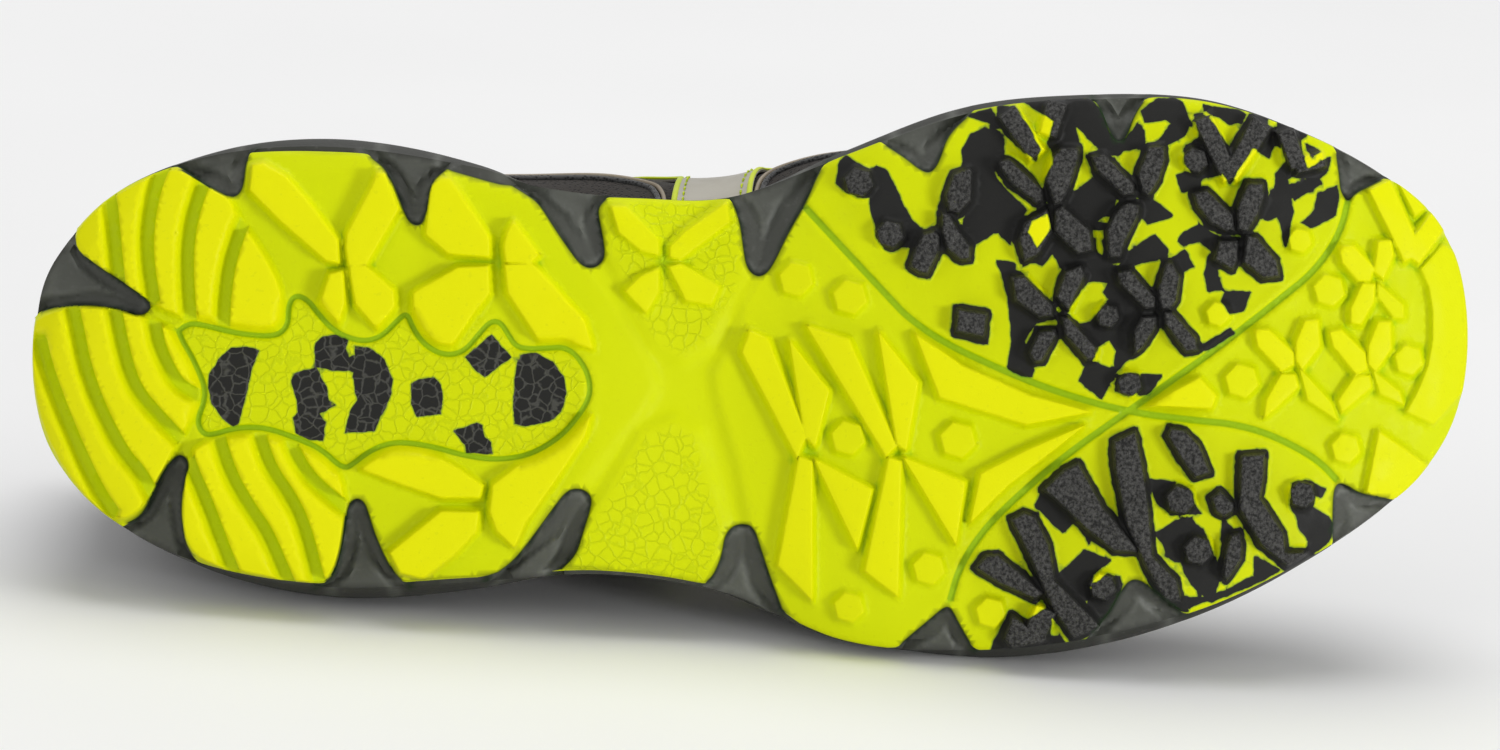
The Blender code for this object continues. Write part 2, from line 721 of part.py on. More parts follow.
def piece(name, points, faces, finish, smooth_degrees=40):
    """Object from points and faces, welded, closed and facing outwards."""
    mesh = bpy.data.meshes.new(name)
    built = bmesh.new()
    verts = [built.verts.new(point) for point in points]
    for face in faces:
        if len(set(face)) == len(face):
            built.faces.new([verts[i] for i in face])
    unused = [vert for vert in built.verts if not vert.link_faces]
    bmesh.ops.delete(built, geom=unused, context="VERTS")
    bmesh.ops.remove_doubles(built, verts=built.verts, dist=2e-6)
    bmesh.ops.dissolve_degenerate(built, edges=built.edges, dist=1e-6)
    bmesh.ops.recalc_face_normals(built, faces=built.faces)
    built.to_mesh(mesh)
    built.free()
    made = bpy.data.objects.new(name, mesh)
    bpy.context.scene.collection.objects.link(made)
    mesh.materials.append(finish)
    mesh.shade_smooth()
    mesh.set_sharp_from_angle(angle=math.radians(smooth_degrees))
    return made


def shell(name, outer, inner, faces, finish):
    """Solid between an outer skin and its inner twin, closed round every open edge."""
    keys, renumber, kept = {}, [], []
    for index, point in enumerate(outer):
        key = tuple(np.round(point, 7))
        if key not in keys:
            keys[key] = len(kept)
            kept.append(index)
        renumber.append(keys[key])
    skin = []
    for face in faces:
        corners = [renumber[i] for i in face]
        corners = [c for i, c in enumerate(corners) if c != corners[i - 1]]
        if len(set(corners)) >= 3:
            skin.append(tuple(corners))
    count = len(kept)
    points = [outer[i] for i in kept] + [inner[i] for i in kept]
    walls = [(b, a, a + count, b + count) for a, b in open_edges(skin)]
    back = [tuple(i + count for i in face[::-1]) for face in skin]
    return piece(name, points, skin + back + walls, finish)


def outsole(finish):
    """Rubber sheet with its notched outline, lugs, grooved heel pods and flat back."""
    outline = notched_outline(OUTSOLE_INSET, 48)
    raised, cut = tread_features()
    loops = [loop for loop, _ in raised + cut]
    skirts = [offset_loop(loop, LUG_DRAFT) for loop in loops]
    spread = clear_of(grid_points(TREAD_STEP, TREAD_MARGIN), skirts, 0.0015)
    flat, faces = triangulated(outline, loops + skirts, spread)
    lower = tread_floor(flat[:, 0], flat[:, 1]) - tread_height(flat, raised, cut)
    edge = loop_of(open_edges(faces))
    spread = grid_points(SPREAD_STEP, SPREAD_STEP)
    back_flat, back_faces = triangulated(flat[edge], sole_bands(), spread)
    upper = tread_floor(back_flat[:, 0], back_flat[:, 1]) + RUBBER
    count = len(flat)
    points = [(*p, z) for p, z in zip(flat, lower)] + [(*p, z) for p, z in zip(back_flat, upper)]
    back_edge = loop_of(open_edges(back_faces))
    walls = wall_faces(edge, flat, [i + count for i in back_edge], back_flat[back_edge])
    turned = [tuple(face[::-1]) for face in faces]
    above = [tuple(i + count for i in face) for face in back_faces]
    return piece("outsole", points, turned + above + walls, finish, 25)


def rim_point(side, turn):
    """Point of the rim's outline, at the height of the rim."""
    curve = RIM_INNER if side == "inner" else RIM_OUTER
    station = (1 - math.cos(turn)) / 2
    x = RIM_SETBACK + (LENGTH - 2 * RIM_SETBACK) * station
    return np.array([x, float(curve(turn)), float(ground(station) + RIM_ABOVE(station))])


def midsole_turns():
    """Turns at which the midsole has a section: an even spread, and three at each notch."""
    alongs = [along for row in NOTCHES for along in (row[1], (row[1] + row[2]) / 2, row[2])]
    turns = [float(turn_of((along - PLAN_HEEL) / PLAN_LENGTH)) for along in alongs]
    for turn in np.linspace(0, math.pi, MIDSOLE_STATIONS):
        if all(abs(turn - other) > 0.05 for other in turns):
            turns.append(float(turn))
    turns.sort()
    kept = [0.0]
    for turn in turns:
        if turn - kept[-1] > 0.022 and turn < math.pi - 0.02:
            kept.append(turn)
    return kept + [math.pi]


def notch_share(side, turn):
    """How deep a section is in a notch: 1 at its middle, 0 outside."""
    along = PLAN_HEEL + PLAN_LENGTH * (1 - math.cos(turn)) / 2
    deepest = 0.0
    for row_side, start, end, _, _ in NOTCHES:
        if row_side == side and start < along < end:
            middle, half = (start + end) / 2, (end - start) / 2
            deepest = max(deepest, 1 - abs(along - middle) / half)
    return deepest


def midsole_section(side, turn):
    """Points down the side of the midsole, from its lower edge to its rim."""
    curve = SOLE_INNER if side == "inner" else SOLE_OUTER
    station = (1 - math.cos(turn)) / 2
    outward = outward_at(curve, turn, side)
    low = np.array([LENGTH * station, float(curve(turn))]) - outward * OUTSOLE_INSET * 0.5
    low_height = float(tread_floor(*low)[0]) + RUBBER + SOLE_GAP
    top = rim_point(side, turn)
    notch = notch_share(side, turn)
    section = []
    for height_share, way, bulge in MIDSOLE_SIDE:
        flat = low + (top[:2] - low) * way + outward * bulge
        scoop = notch * max(0.0, 1 - height_share / 0.5)
        flat = flat - outward * NOTCH_SCOOP * scoop
        height = low_height + (top[2] - low_height) * height_share + NOTCH_RISE * scoop
        section.append(np.array([*flat, height]))
    return section


def midsole(finish):
    """Foam body: scooped at the notches, ribbed down its side and dished for the insole."""
    turns = midsole_turns()
    ring = [midsole_section("inner", turn) for turn in turns]
    ring += [midsole_section("outer", turn) for turn in turns[-2:0:-1]]
    rows = len(MIDSOLE_SIDE)
    count = len(ring)
    points = [point for section in ring for point in section]
    faces = []
    for i in range(count):
        after = (i + 1) % count
        for j in range(rows - 1):
            faces.append((i * rows + j, after * rows + j, after * rows + j + 1, i * rows + j + 1))
    low_loop = np.array([section[0] for section in ring])
    flat, low_faces = triangulated(low_loop[:, :2], sole_bands(), grid_points(SPREAD_STEP, SPREAD_STEP))
    heights = {tuple(np.round(p[:2], 6)): p[2] for p in low_loop}
    base = len(points)
    level = tread_floor(flat[:, 0], flat[:, 1]) + RUBBER + SOLE_GAP
    for place, height in zip(flat, level):
        points.append((*place, heights.get(tuple(np.round(place, 6)), height)))
    faces += [tuple(base + i for i in face) for face in low_faces]

    base = len(points)
    top_loop = np.array([section[-1] for section in ring])
    band, cup, inset = bed_loop(BAND_WIDTH, 40), bed_loop(CUP_WIDTH, 28), bed_loop(BED_EDGE, 20)
    flat, top_faces = triangulated(top_loop[:, :2], [band, cup, inset], bed_middle())
    for place in flat:
        points.append((*place, rim_surface(*place, cup)))
    faces += [tuple(base + i for i in face) for face in top_faces]
    return piece("midsole", points, faces, finish, 35)


BAND_WIDTH = 0.0052
CUP_WIDTH = 0.0085
BED_EDGE = 0.0190


def bed_centre(station):
    turn = turn_of(station)
    return (RIM_INNER(turn) + RIM_OUTER(turn)) / 2


def bed_middle():
    """Points down the middle of the footbed."""
    return [(x * LENGTH, float(bed_centre(x))) for x in np.linspace(0.10, 0.90, 13)]


def bed_loop(inset, count):
    return outline_loop(RIM_INNER, RIM_OUTER, RIM_SETBACK, inset, count)


def rim_surface(x, y, cup):
    """Height of the midsole's upper face: level rim, then down into the footbed."""
    station = np.clip((x - RIM_SETBACK) / (LENGTH - 2 * RIM_SETBACK), 0, 1)
    rim = float(ground(station) + RIM_ABOVE(station))
    near = float(distance_outside(np.array([[x, y]]), cup)[0])
    slope = (CUP_WIDTH - BAND_WIDTH) * 0.98
    return rim - FOOTBED_DEPTH * float(np.clip(1 - near / slope, 0, 1))


def insole(finish):
    """Sock liner in the footbed: flat below, a little cupped above."""
    loop = bed_loop(CUP_WIDTH + FIT_GAP * 2, 28)
    cup, inset = bed_loop(CUP_WIDTH, 28), bed_loop(BED_EDGE, 20)
    flat, faces = triangulated(loop, [inset], bed_middle())
    outer, inner = [], []
    for place in flat:
        bed = rim_surface(*place, cup) + FIT_GAP * 1.5
        edge = min(1.0, float(distance_outside(place[None], inset)[0]) / (BED_EDGE - CUP_WIDTH))
        inner.append((*place, bed))
        outer.append((*place, bed + INSOLE_THICKNESS + INSOLE_CUP * edge))
    return shell("insole", outer, inner, faces, finish)


UPPER_TURNS = turn_of(column(UPPER_SECTIONS, 0))
TOP_STATION = curve_through(UPPER_TURNS, column(UPPER_SECTIONS, 1))
TOP_HALF = curve_through(UPPER_TURNS, [row[2] * COLLAR_WIDTH for row in UPPER_SECTIONS])
TOP_CENTRE = curve_through(UPPER_TURNS, [row[3] * BALL_WIDTH for row in UPPER_SECTIONS])
TOP_LEVEL = curve_through(
    UPPER_TURNS, [row[5] * TOP_HEIGHT[row[4]] for row in UPPER_SECTIONS]
)
TOP_LEAN = curve_through(UPPER_TURNS, column(UPPER_SECTIONS, 6))
FOOT_INSET = 0.0014


def arch_share(station):
    """How much of the arch's bulge there is at a station."""
    near = abs(station - ARCH_MIDDLE) / ARCH_REACH
    return 1 - float(soft_step(near))


def upper_point(side, turn, share):
    """Point of the upper's outer face, from its foot on the rim to its top edge."""
    sign = -1 if side == "inner" else 1
    curve = RIM_INNER if side == "inner" else RIM_OUTER
    outward = np.array([*outward_at(curve, turn, side), 0])
    foot = rim_point(side, turn) - outward * FOOT_INSET + np.array([0, 0, FIT_GAP])
    station = (1 - math.cos(turn)) / 2
    half = float(TOP_HALF(turn)) if station < THROAT_FRONT - 1e-6 else 0.0
    top = np.array(
        [TOP_STATION(turn) * LENGTH, TOP_CENTRE(turn) + sign * max(half, 0), TOP_LEVEL(turn)],
        float,
    )
    rise = top - foot
    level = np.array([-rise[0], -rise[1], 0])
    away = np.linalg.norm(level)
    level = level / away if away > 1e-4 else outward
    lean = math.radians(float(TOP_LEAN(turn)))
    reach = 0.5 * np.linalg.norm(rise)
    bulge = 0.0
    if station < 0.9:
        bulge = SIDE_BULGE * math.sin(math.pi * max(station, 0.04) / 0.9) ** 0.5
    if side == "inner":
        bulge += ARCH_BULGE * arch_share(station)
    first = foot + outward * bulge + np.array([0, 0, rise[2] * 0.5])
    second = top + level * math.cos(lean) * reach - np.array([0, 0, math.sin(lean) * reach])
    rest = 1 - share
    return (
        foot * rest**3
        + first * 3 * rest**2 * share
        + second * 3 * rest * share**2
        + top * share**3
    )


def upper_stations():
    """Turns of the upper's sections, the ends of the throat among them."""
    fixed = [float(turn_of(s)) for s in (COLLAR_FRONT, THROAT_FRONT)]
    spread = [t for t in np.linspace(0, math.pi, UPPER_STATIONS + 1)]
    spread = [t for t in spread if all(abs(t - f) > 0.03 for f in fixed)]
    return sorted(spread + fixed)


class UpperSkin:
    """The upper's outer face as rings of points, with its normals and wall thickness."""

    def __init__(self):
        self.turns = upper_stations()
        self.stations = [(1 - math.cos(turn)) / 2 for turn in self.turns]
        self.last = len(self.turns) - 1
        self.ring = [("inner", i) for i in range(self.last + 1)]
        self.ring += [("outer", i) for i in range(self.last - 1, 0, -1)]
        shares = np.linspace(0, 1, UPPER_ROWS + 1)
        self.shares = shares
        self.points = np.array(
            [[upper_point(side, self.turns[i], s) for s in shares] for side, i in self.ring]
        )
        around = np.roll(self.points, -1, axis=0) - np.roll(self.points, 1, axis=0)
        along = np.gradient(self.points, axis=1)
        normal = np.cross(along, around)
        normal /= np.maximum(np.linalg.norm(normal, axis=2), 1e-12)[:, :, None]
        centre = self.points.mean(axis=(0, 1))
        if np.sum(normal[0, UPPER_ROWS // 2] * (self.points[0, UPPER_ROWS // 2] - centre)) < 0:
            normal = -normal
        for k, (side, i) in enumerate(self.ring):
            if self.stations[i] >= THROAT_FRONT - 1e-6 and side == "inner" and i < self.last:
                twin = len(self.ring) - i
                shared = normal[k, -1] + normal[twin, -1]
                normal[k, -1] = normal[twin, -1] = shared / np.linalg.norm(shared)
        self.normals = normal
        self.walls = np.array(
            [[self.wall(self.stations[i], s) for s in shares] for _, i in self.ring]
        )

    def wall(self, station, share):
        """Wall thickness: the padded collar is thicker than the vamp."""
        pad = 1 - soft_step((station - PAD_SPAN[0]) / (PAD_SPAN[1] - PAD_SPAN[0]))
        rise = soft_step((share - PAD_START) / (0.8 - PAD_START))
        lip = 1 - LIP_THINNING * soft_step((share - 0.9) / 0.1)
        return UPPER_WALL + COLLAR_PAD * float(pad * rise * lip)

    def index(self, side, i):
        return i if side == "inner" or i in (0, self.last) else len(self.ring) - i

    def at(self, side, i, share, lift):
        """Point on the faceted skin at a share of the way up, lifted along its normal."""
        k = self.index(side, i)
        row = min(int(share * UPPER_ROWS), UPPER_ROWS - 1)
        part = share * UPPER_ROWS - row
        place = self.points[k, row] * (1 - part) + self.points[k, row + 1] * part
        normal = self.normals[k, row] * (1 - part) + self.normals[k, row + 1] * part
        return place + normal / np.linalg.norm(normal) * lift

    def inside(self, side, i, share, clearance):
        """Point off the inner face of the wall."""
        return self.at(side, i, share, -self.wall(self.stations[i], share) - clearance)

    def nearest(self, station):
        return int(np.argmin([abs(s - station) for s in self.stations]))


def upper(skin, finish):
    """Hollow upper: open at the collar and throat, and underneath where the sole closes it."""
    rows = UPPER_ROWS + 1
    count = len(skin.ring)
    outer = skin.points.reshape(-1, 3)
    inner = (skin.points - skin.normals * skin.walls[:, :, None]).reshape(-1, 3)
    inner = inner.reshape(count, rows, 3)
    inner[:, 0, 2] = skin.points[:, 0, 2]
    inner = inner.reshape(-1, 3)
    faces = []
    for k in range(count):
        faces += cell_faces(k * rows, (k + 1) % count * rows, rows - 1)
    return shell("upper", outer, inner, faces, finish)


def cell_faces(first, second, rows):
    """Triangles between two columns of points, all split along the same diagonal."""
    faces = []
    for j in range(rows):
        a, b = first + j, second + j
        faces += [(a, a + 1, b + 1), (a, b + 1, b)]
    return faces


def overlay(name, skin, runs, low, high, finish, seat=OVERLAY_SEAT):
    """Sheet on the upper over runs of its sections, between two heights given by station."""
    outer, inner, faces = [], [], []
    for columns in runs:
        base = len(outer)
        for side, i in columns:
            station = skin.stations[i]
            for share in np.clip(skin.shares, low(station), high(station)):
                inner.append(skin.at(side, i, share, seat))
                outer.append(skin.at(side, i, share, seat + OVERLAY))
        rows = UPPER_ROWS
        for k in range(len(columns) - 1):
            faces += cell_faces(base + k * (rows + 1), base + (k + 1) * (rows + 1), rows)
    return shell(name, outer, inner, faces, finish)


def columns_between(skin, side, first, last):
    """Sections of a side between two stations, in the order of the ring."""
    wanted = [i for i, s in enumerate(skin.stations) if first - 1e-6 <= s <= last + 1e-6]
    return [(side, i) for i in (wanted if side == "inner" else wanted[::-1])]


TOE_CAP_START = 0.84
TOE_CAP_RISE = (0.20, 0.52)


def toe_cap(skin, finish):
    """Bumper round the toe, highest at its front."""
    low, rise = TOE_CAP_RISE
    columns = columns_between(skin, "inner", TOE_CAP_START, 1.0)
    columns += columns_between(skin, "outer", TOE_CAP_START, 0.9999)

    def high(station):
        return low + rise * float(soft_step((station - TOE_CAP_START) / 0.12))

    return overlay("toe_cap", skin, [columns], lambda s: OVERLAY_LOW, high, finish)


COUNTER_END = 0.24
COUNTER_RISE = (0.22, 0.40)


def heel_counter(skin, finish):
    """Stiff cup round the heel, highest at its back."""
    low, rise = COUNTER_RISE
    columns = columns_between(skin, "outer", 0.0001, COUNTER_END)
    columns += columns_between(skin, "inner", 0.0, COUNTER_END)

    def high(station):
        return low + rise * (1 - float(soft_step(station / COUNTER_END)))

    return overlay("heel_counter", skin, [columns], lambda s: OVERLAY_LOW, high, finish)


SIDE_PANEL_FOOT = (0.445, 0.505)
SIDE_PANEL_SPREAD = 0.07
SIDE_PANEL_FLARE = 0.26
EYESTAY_LOW = 0.72
EYESTAY_END = 0.725


def side_panel(name, side, skin, finish):
    """Strap from the sole up to the eyestay, wider at its top."""
    start, end = SIDE_PANEL_FOOT
    high = EYESTAY_LOW - 0.04

    def low(station):
        short = max(start - station, station - end, 0)
        return OVERLAY_LOW + SIDE_PANEL_FLARE * short / SIDE_PANEL_SPREAD

    columns = columns_between(skin, side, start - SIDE_PANEL_SPREAD, end + SIDE_PANEL_SPREAD)
    return overlay(name, skin, [columns], low, lambda s: high, finish, PANEL_SEAT)


def eyestay(skin, finish):
    """U-shaped reinforcement round the throat that carries the eyelets."""
    start, front = skin.stations[skin.nearest(COLLAR_FRONT)], THROAT_FRONT
    runs = [columns_between(skin, side, start, EYESTAY_END) for side in ("inner", "outer")]

    def low(station):
        past = max(0.0, station - front) / (EYESTAY_END - front)
        return EYESTAY_LOW + 0.16 * min(1.0, past)

    return overlay("eyestay", skin, runs, low, lambda s: 1.0, finish)


TONGUE_END = 0.700
TONGUE_TOP = 0.430
TONGUE_FREE = (
    # step back and up as shares of the rise, half width share, crown share
    (-0.34, 0.34, 0.76, 0.36),
    (-0.56, 0.62, 1.22, 0.44),
    (-0.70, 0.88, 1.50, 0.46),
    (-0.78, 1.06, 1.34, 0.44),
    (-0.82, 1.14, 0.96, 0.40),
)
TONGUE_CROWN = 0.22
TONGUE_EDGE = (0.45, 0.85, 1, 1, 1, 1, 1, 0.85, 0.45)


def tongue_rows(skin):
    """Lines across the tongue's outer face: held under the eyestay, then free above it."""
    start, end = skin.nearest(TONGUE_TOP), skin.nearest(TONGUE_END)
    front = skin.nearest(THROAT_FRONT)
    wings = skin.shares[-3:]
    vamp = skin.shares[-5:]
    rows = []
    for i in range(end, front - 1, -1):
        half = [skin.inside("inner", i, s, VAMP_CLEARANCE) for s in vamp]
        rows.append(half + [skin.inside("outer", i, s, VAMP_CLEARANCE) for s in vamp[-2::-1]])
    for i in range(front - 1, start - 1, -1):
        clearance = WING_CLEARANCE if i > start else VAMP_CLEARANCE + WING_CLEARANCE * 2
        shares = wings if i > start else (wings + 1) / 2
        left = [skin.inside("inner", i, s, clearance) for s in shares]
        right = [skin.inside("outer", i, s, clearance) for s in shares]
        span = np.linalg.norm(right[-1] - left[-1])
        grown = min(1.0, (front - 1 - i) / 2)
        arch = []
        for u in (-0.5, 0.0, 0.5):
            level = (left[-1] * (1 - u) + right[-1] * (1 + u)) / 2
            rise = (TONGUE_CROWN * span + TONGUE_SWELL) * (1 - u * u) * grown
            arch.append(level + np.array([0, 0, rise]))
        rows.append(left + arch + right[::-1])
    held = rows[-1]
    centre = held[4]
    for back, up, width, crown in TONGUE_FREE:
        middle = centre + np.array([back, 0, up]) * TONGUE_RISE
        row = []
        for u in np.linspace(-1, 1, 9):
            half = TONGUE_WIDTH / 2 * width
            row.append(middle + np.array([0, u * half, -crown * half * u * u]))
        rows.append(row)
    return np.array(rows)


def tongue(skin, finish):
    """Padded flap in the throat, from under the vamp to above the top eyelets."""
    rows = tongue_rows(skin)
    around = np.gradient(rows, axis=1)
    along = np.gradient(rows, axis=0)
    normal = np.cross(around, along)
    normal /= np.linalg.norm(normal, axis=2)[:, :, None]
    if normal[0, 4, 2] < 0:
        normal = -normal
    edge = np.array(TONGUE_EDGE)
    inner = rows - normal * TONGUE_THICKNESS * edge[None, :, None]
    count = rows.shape[1]
    faces = []
    for i in range(len(rows) - 1):
        for j in range(count - 1):
            a = i * count + j
            faces.append((a, a + 1, a + count + 1, a + count))
    return shell("tongue", rows.reshape(-1, 3), inner.reshape(-1, 3), faces, finish)


NEAR_TURN = 0.02
NEAR_SHARE = 0.03


def lacing_point(along, across):
    """Place on the sheet that the laces follow: over the eyestay and arched over the tongue."""
    turn = float(turn_of(along / LENGTH))
    share = abs(across)
    side = "inner" if across < 0 else "outer"
    lift = OVERLAY_SEAT + OVERLAY + FIT_GAP + LACE_SEAT
    low = upper_point("inner", turn, 1.0)
    high = upper_point("outer", turn, 1.0)
    span = np.linalg.norm(high - low)
    if share > LACING_RIM:
        rise = (share - LACING_RIM) / (1 - LACING_RIM)
        place = upper_point(side, turn, 1 - (1 - EYELET_ROW) * rise)
        near = upper_point(side, turn, 1 - NEAR_SHARE - (1 - EYELET_ROW) * rise)
        ahead = upper_point(side, turn + NEAR_TURN, 1 - (1 - EYELET_ROW) * rise)
        normal = np.cross(near - place, ahead - place)
        normal *= math.copysign(1, normal[2]) / np.linalg.norm(normal)
        return place + normal * lift
    level = (low + high) / 2 + (high - low) / 2 * (across / LACING_RIM)
    arch = TONGUE_CROWN * span * (1 - (across / LACING_RIM) ** 2)
    return level + np.array([0, 0, arch + lift])


def lace(finish):
    """Crossed lacing over the tongue as one solid; its ends stop at the top eyelets."""
    half = COLLAR_WIDTH * 0.30
    stations = [s * LENGTH for s in EYELET_STATIONS]
    runs = [((stations[0], -half), (stations[0], half))]
    for low, high in zip(stations, stations[1:]):
        runs += [((low, -half), (high, half)), ((low, half), (high, -half))]
    strips = []
    for start, end in runs:
        start, end = np.array(start), np.array(end)
        run = (end - start) / np.linalg.norm(end - start)
        side = np.array([-run[1], run[0]]) * LACE_WIDTH / 2
        steps = np.linspace(0, 1, 5)[:, None]
        line = start - run * LACE_WIDTH * 0.3 + (end - start + run * LACE_WIDTH * 0.6) * steps
        loop = np.concatenate([line + side, (line - side)[::-1]])
        strips.append(loop if signed_area(loop) > 0 else loop[::-1])
    flat, faces = triangulated_union(strips)
    outer, inner = [], []
    for along, across in flat:
        place = lacing_point(along, across / half)
        step = 0.001
        ahead = lacing_point(along + step, across / half)
        beside = lacing_point(along, (across + step) / half)
        normal = np.cross(ahead - place, beside - place)
        normal *= math.copysign(1, normal[2]) / np.linalg.norm(normal)
        inner.append(place)
        outer.append(place + normal * LACE_THICKNESS)
    return shell("lace", outer, inner, faces, finish)


def volume_and_centre(thing):
    """Volume and centre of a closed mesh, upright."""
    built = bmesh.new()
    built.from_mesh(thing.data)
    bmesh.ops.triangulate(built, faces=built.faces)
    volume, moment = 0.0, Vector()
    for face in built.faces:
        a, b, c = (vert.co for vert in face.verts)
        part = a.dot(b.cross(c)) / 6
        volume += part
        moment += (a + b + c) / 4 * part
    built.free()
    return volume, moment / volume


def lying_matrix(things):
    """Turn and shift that lay the upright shoe on the outer side that it balances on."""
    weight, moment = 0.0, Vector()
    corners = []
    for thing in things:
        volume, centre = volume_and_centre(thing)
        mass = volume * DENSITY.get(thing.name, TRIM_DENSITY)
        weight += mass
        moment += centre * mass
        corners += [vert.co.copy() for vert in thing.data.vertices]
    balance = moment / weight
    hull = bmesh.new()
    for corner in corners:
        hull.verts.new(corner)
    bmesh.ops.convex_hull(hull, input=hull.verts)
    best, down = -1.0, Vector((0, 1, 0))
    for face in hull.faces:
        normal = face.normal if face.normal.dot(face.verts[0].co - balance) > 0 else -face.normal
        foot = balance + normal * (face.verts[0].co - balance).dot(normal)
        sides = []
        for i, vert in enumerate(face.verts):
            after = face.verts[(i + 1) % len(face.verts)]
            sides.append((after.co - vert.co).cross(foot - vert.co).dot(normal))
        holds = min(sides) >= 0 or max(sides) <= 0
        if holds and normal.y > best:
            best, down = normal.y, normal.copy()
    hull.free()
    along = (Vector((1, 0, 0)) - down * down.x).normalized()
    up = -down
    turn = Matrix((along, up.cross(along), up)).to_4x4()
    laid = [turn @ corner for corner in corners]
    low = Vector([min(p[axis] for p in laid) for axis in range(3)])
    high = Vector([max(p[axis] for p in laid) for axis in range(3)])
    middle = (low + high) / 2
    return Matrix.Translation((-middle.x, -middle.y, -low.z)) @ turn


def main():
    for thing in list(bpy.data.objects):
        bpy.data.objects.remove(thing)
    lime = material("lime_rubber", (0.75, 0.83, 0.0), 0.5)
    foam = material("grey_foam", (0.055, 0.055, 0.06), 0.65)
    mesh_cloth = material("black_mesh", (0.02, 0.02, 0.022), 0.9)
    film = material("grey_film", (0.06, 0.06, 0.065), 0.45)
    silver = material("silver_film", (0.52, 0.51, 0.50), 0.4)
    lining = material("insole_cloth", (0.10, 0.10, 0.11), 0.95)
    webbing = material("lime_webbing", (0.60, 0.72, 0.02), 0.8)

    skin = UpperSkin()
    things = [
        outsole(lime),
        midsole(foam),
        insole(lining),
        upper(skin, mesh_cloth),
        tongue(skin, mesh_cloth),
        toe_cap(skin, film),
        heel_counter(skin, film),
        eyestay(skin, film),
        side_panel("side_panel_inner", "inner", skin, silver),
        side_panel("side_panel_outer", "outer", skin, silver),
        lace(webbing),
    ]
    shoe = bpy.data.objects.new("shoe", None)
    bpy.context.scene.collection.objects.link(shoe)
    shoe.matrix_world = lying_matrix(things)
    for thing in things:
        thing.parent = shoe


main()
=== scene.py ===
"""Looks of the trail running shoe: rubber tread, foam, mesh upper, trims and laces.

The visual pieces are built in the shoe's upright frame, X from heel to toe, Y to the outer side
and Z up from the tread's ground line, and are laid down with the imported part's own two mounts.
Places on the tread are read off a plan of it, in plan units along and across.
"""

import json
import math

import bmesh
import bpy
import numpy as np
from mathutils import Matrix, Vector
from mathutils.geometry import delaunay_2d_cdt

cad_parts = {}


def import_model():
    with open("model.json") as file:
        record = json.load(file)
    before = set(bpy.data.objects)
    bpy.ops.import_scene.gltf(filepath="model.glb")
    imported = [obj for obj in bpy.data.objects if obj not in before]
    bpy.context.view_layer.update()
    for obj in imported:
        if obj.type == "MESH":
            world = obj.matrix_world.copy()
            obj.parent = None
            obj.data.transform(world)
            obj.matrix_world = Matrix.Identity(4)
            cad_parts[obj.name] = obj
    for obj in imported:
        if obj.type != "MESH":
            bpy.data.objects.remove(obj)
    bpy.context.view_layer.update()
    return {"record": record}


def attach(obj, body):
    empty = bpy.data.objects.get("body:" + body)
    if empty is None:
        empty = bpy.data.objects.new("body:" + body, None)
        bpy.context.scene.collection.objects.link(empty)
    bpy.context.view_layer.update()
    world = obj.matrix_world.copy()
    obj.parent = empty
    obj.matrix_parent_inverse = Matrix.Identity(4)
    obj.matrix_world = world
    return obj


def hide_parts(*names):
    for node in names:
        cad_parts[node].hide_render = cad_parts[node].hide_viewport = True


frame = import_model()

# The solids' own sizes, in metres
LENGTH = 0.300
HEEL_WIDTH = 0.0917
WAIST_WIDTH = 0.0820
BALL_WIDTH = 0.1152
HEEL_STACK = 0.0410
BALL_STACK = 0.0275
TOE_SPRING = 0.0130
HEEL_BEVEL = 0.0060
ARCH_LIFT = 0.0030
EDGE_ROLL = 0.0030
LUG_HEIGHT = 0.0040
RUBBER = 0.0022
RIM_SETBACK = 0.0040
FOOTBED_DEPTH = 0.0050
INSOLE_THICKNESS = 0.0040
UPPER_WALL = 0.0020
COLLAR_PAD = 0.0035
SIDE_BULGE = 0.0040
COLLAR_WIDTH = 0.0680
FOOT_INSET = 0.0014
FIT_GAP = 0.0003
TONGUE_THICKNESS = 0.0042
TONGUE_WIDTH = 0.0340
TONGUE_RISE = 0.0240
TONGUE_SWELL = 0.0028
TONGUE_CROWN = 0.22
LACE_WIDTH = 0.0060
LACE_THICKNESS = 0.0015
LACING_RIM = 0.66

# The tread plan
PLAN_HEEL = 25
PLAN_AXIS = 375
PLAN_LENGTH = 1453
PLAN_UNIT = LENGTH / PLAN_LENGTH

SIDES = ("inner", "outer")
SIGN = {"inner": -1, "outer": 1}
WIDTHS = {"heel": HEEL_WIDTH, "waist": WAIST_WIDTH, "ball": BALL_WIDTH}
STACK = {"heel": HEEL_STACK, "ball": BALL_STACK}
TOP_HEIGHT = {
    "heel tab": 0.1000,
    "ankle": 0.0800,
    "instep": 0.1000,
    "throat": 0.0660,
    "toe box": 0.0570,
}

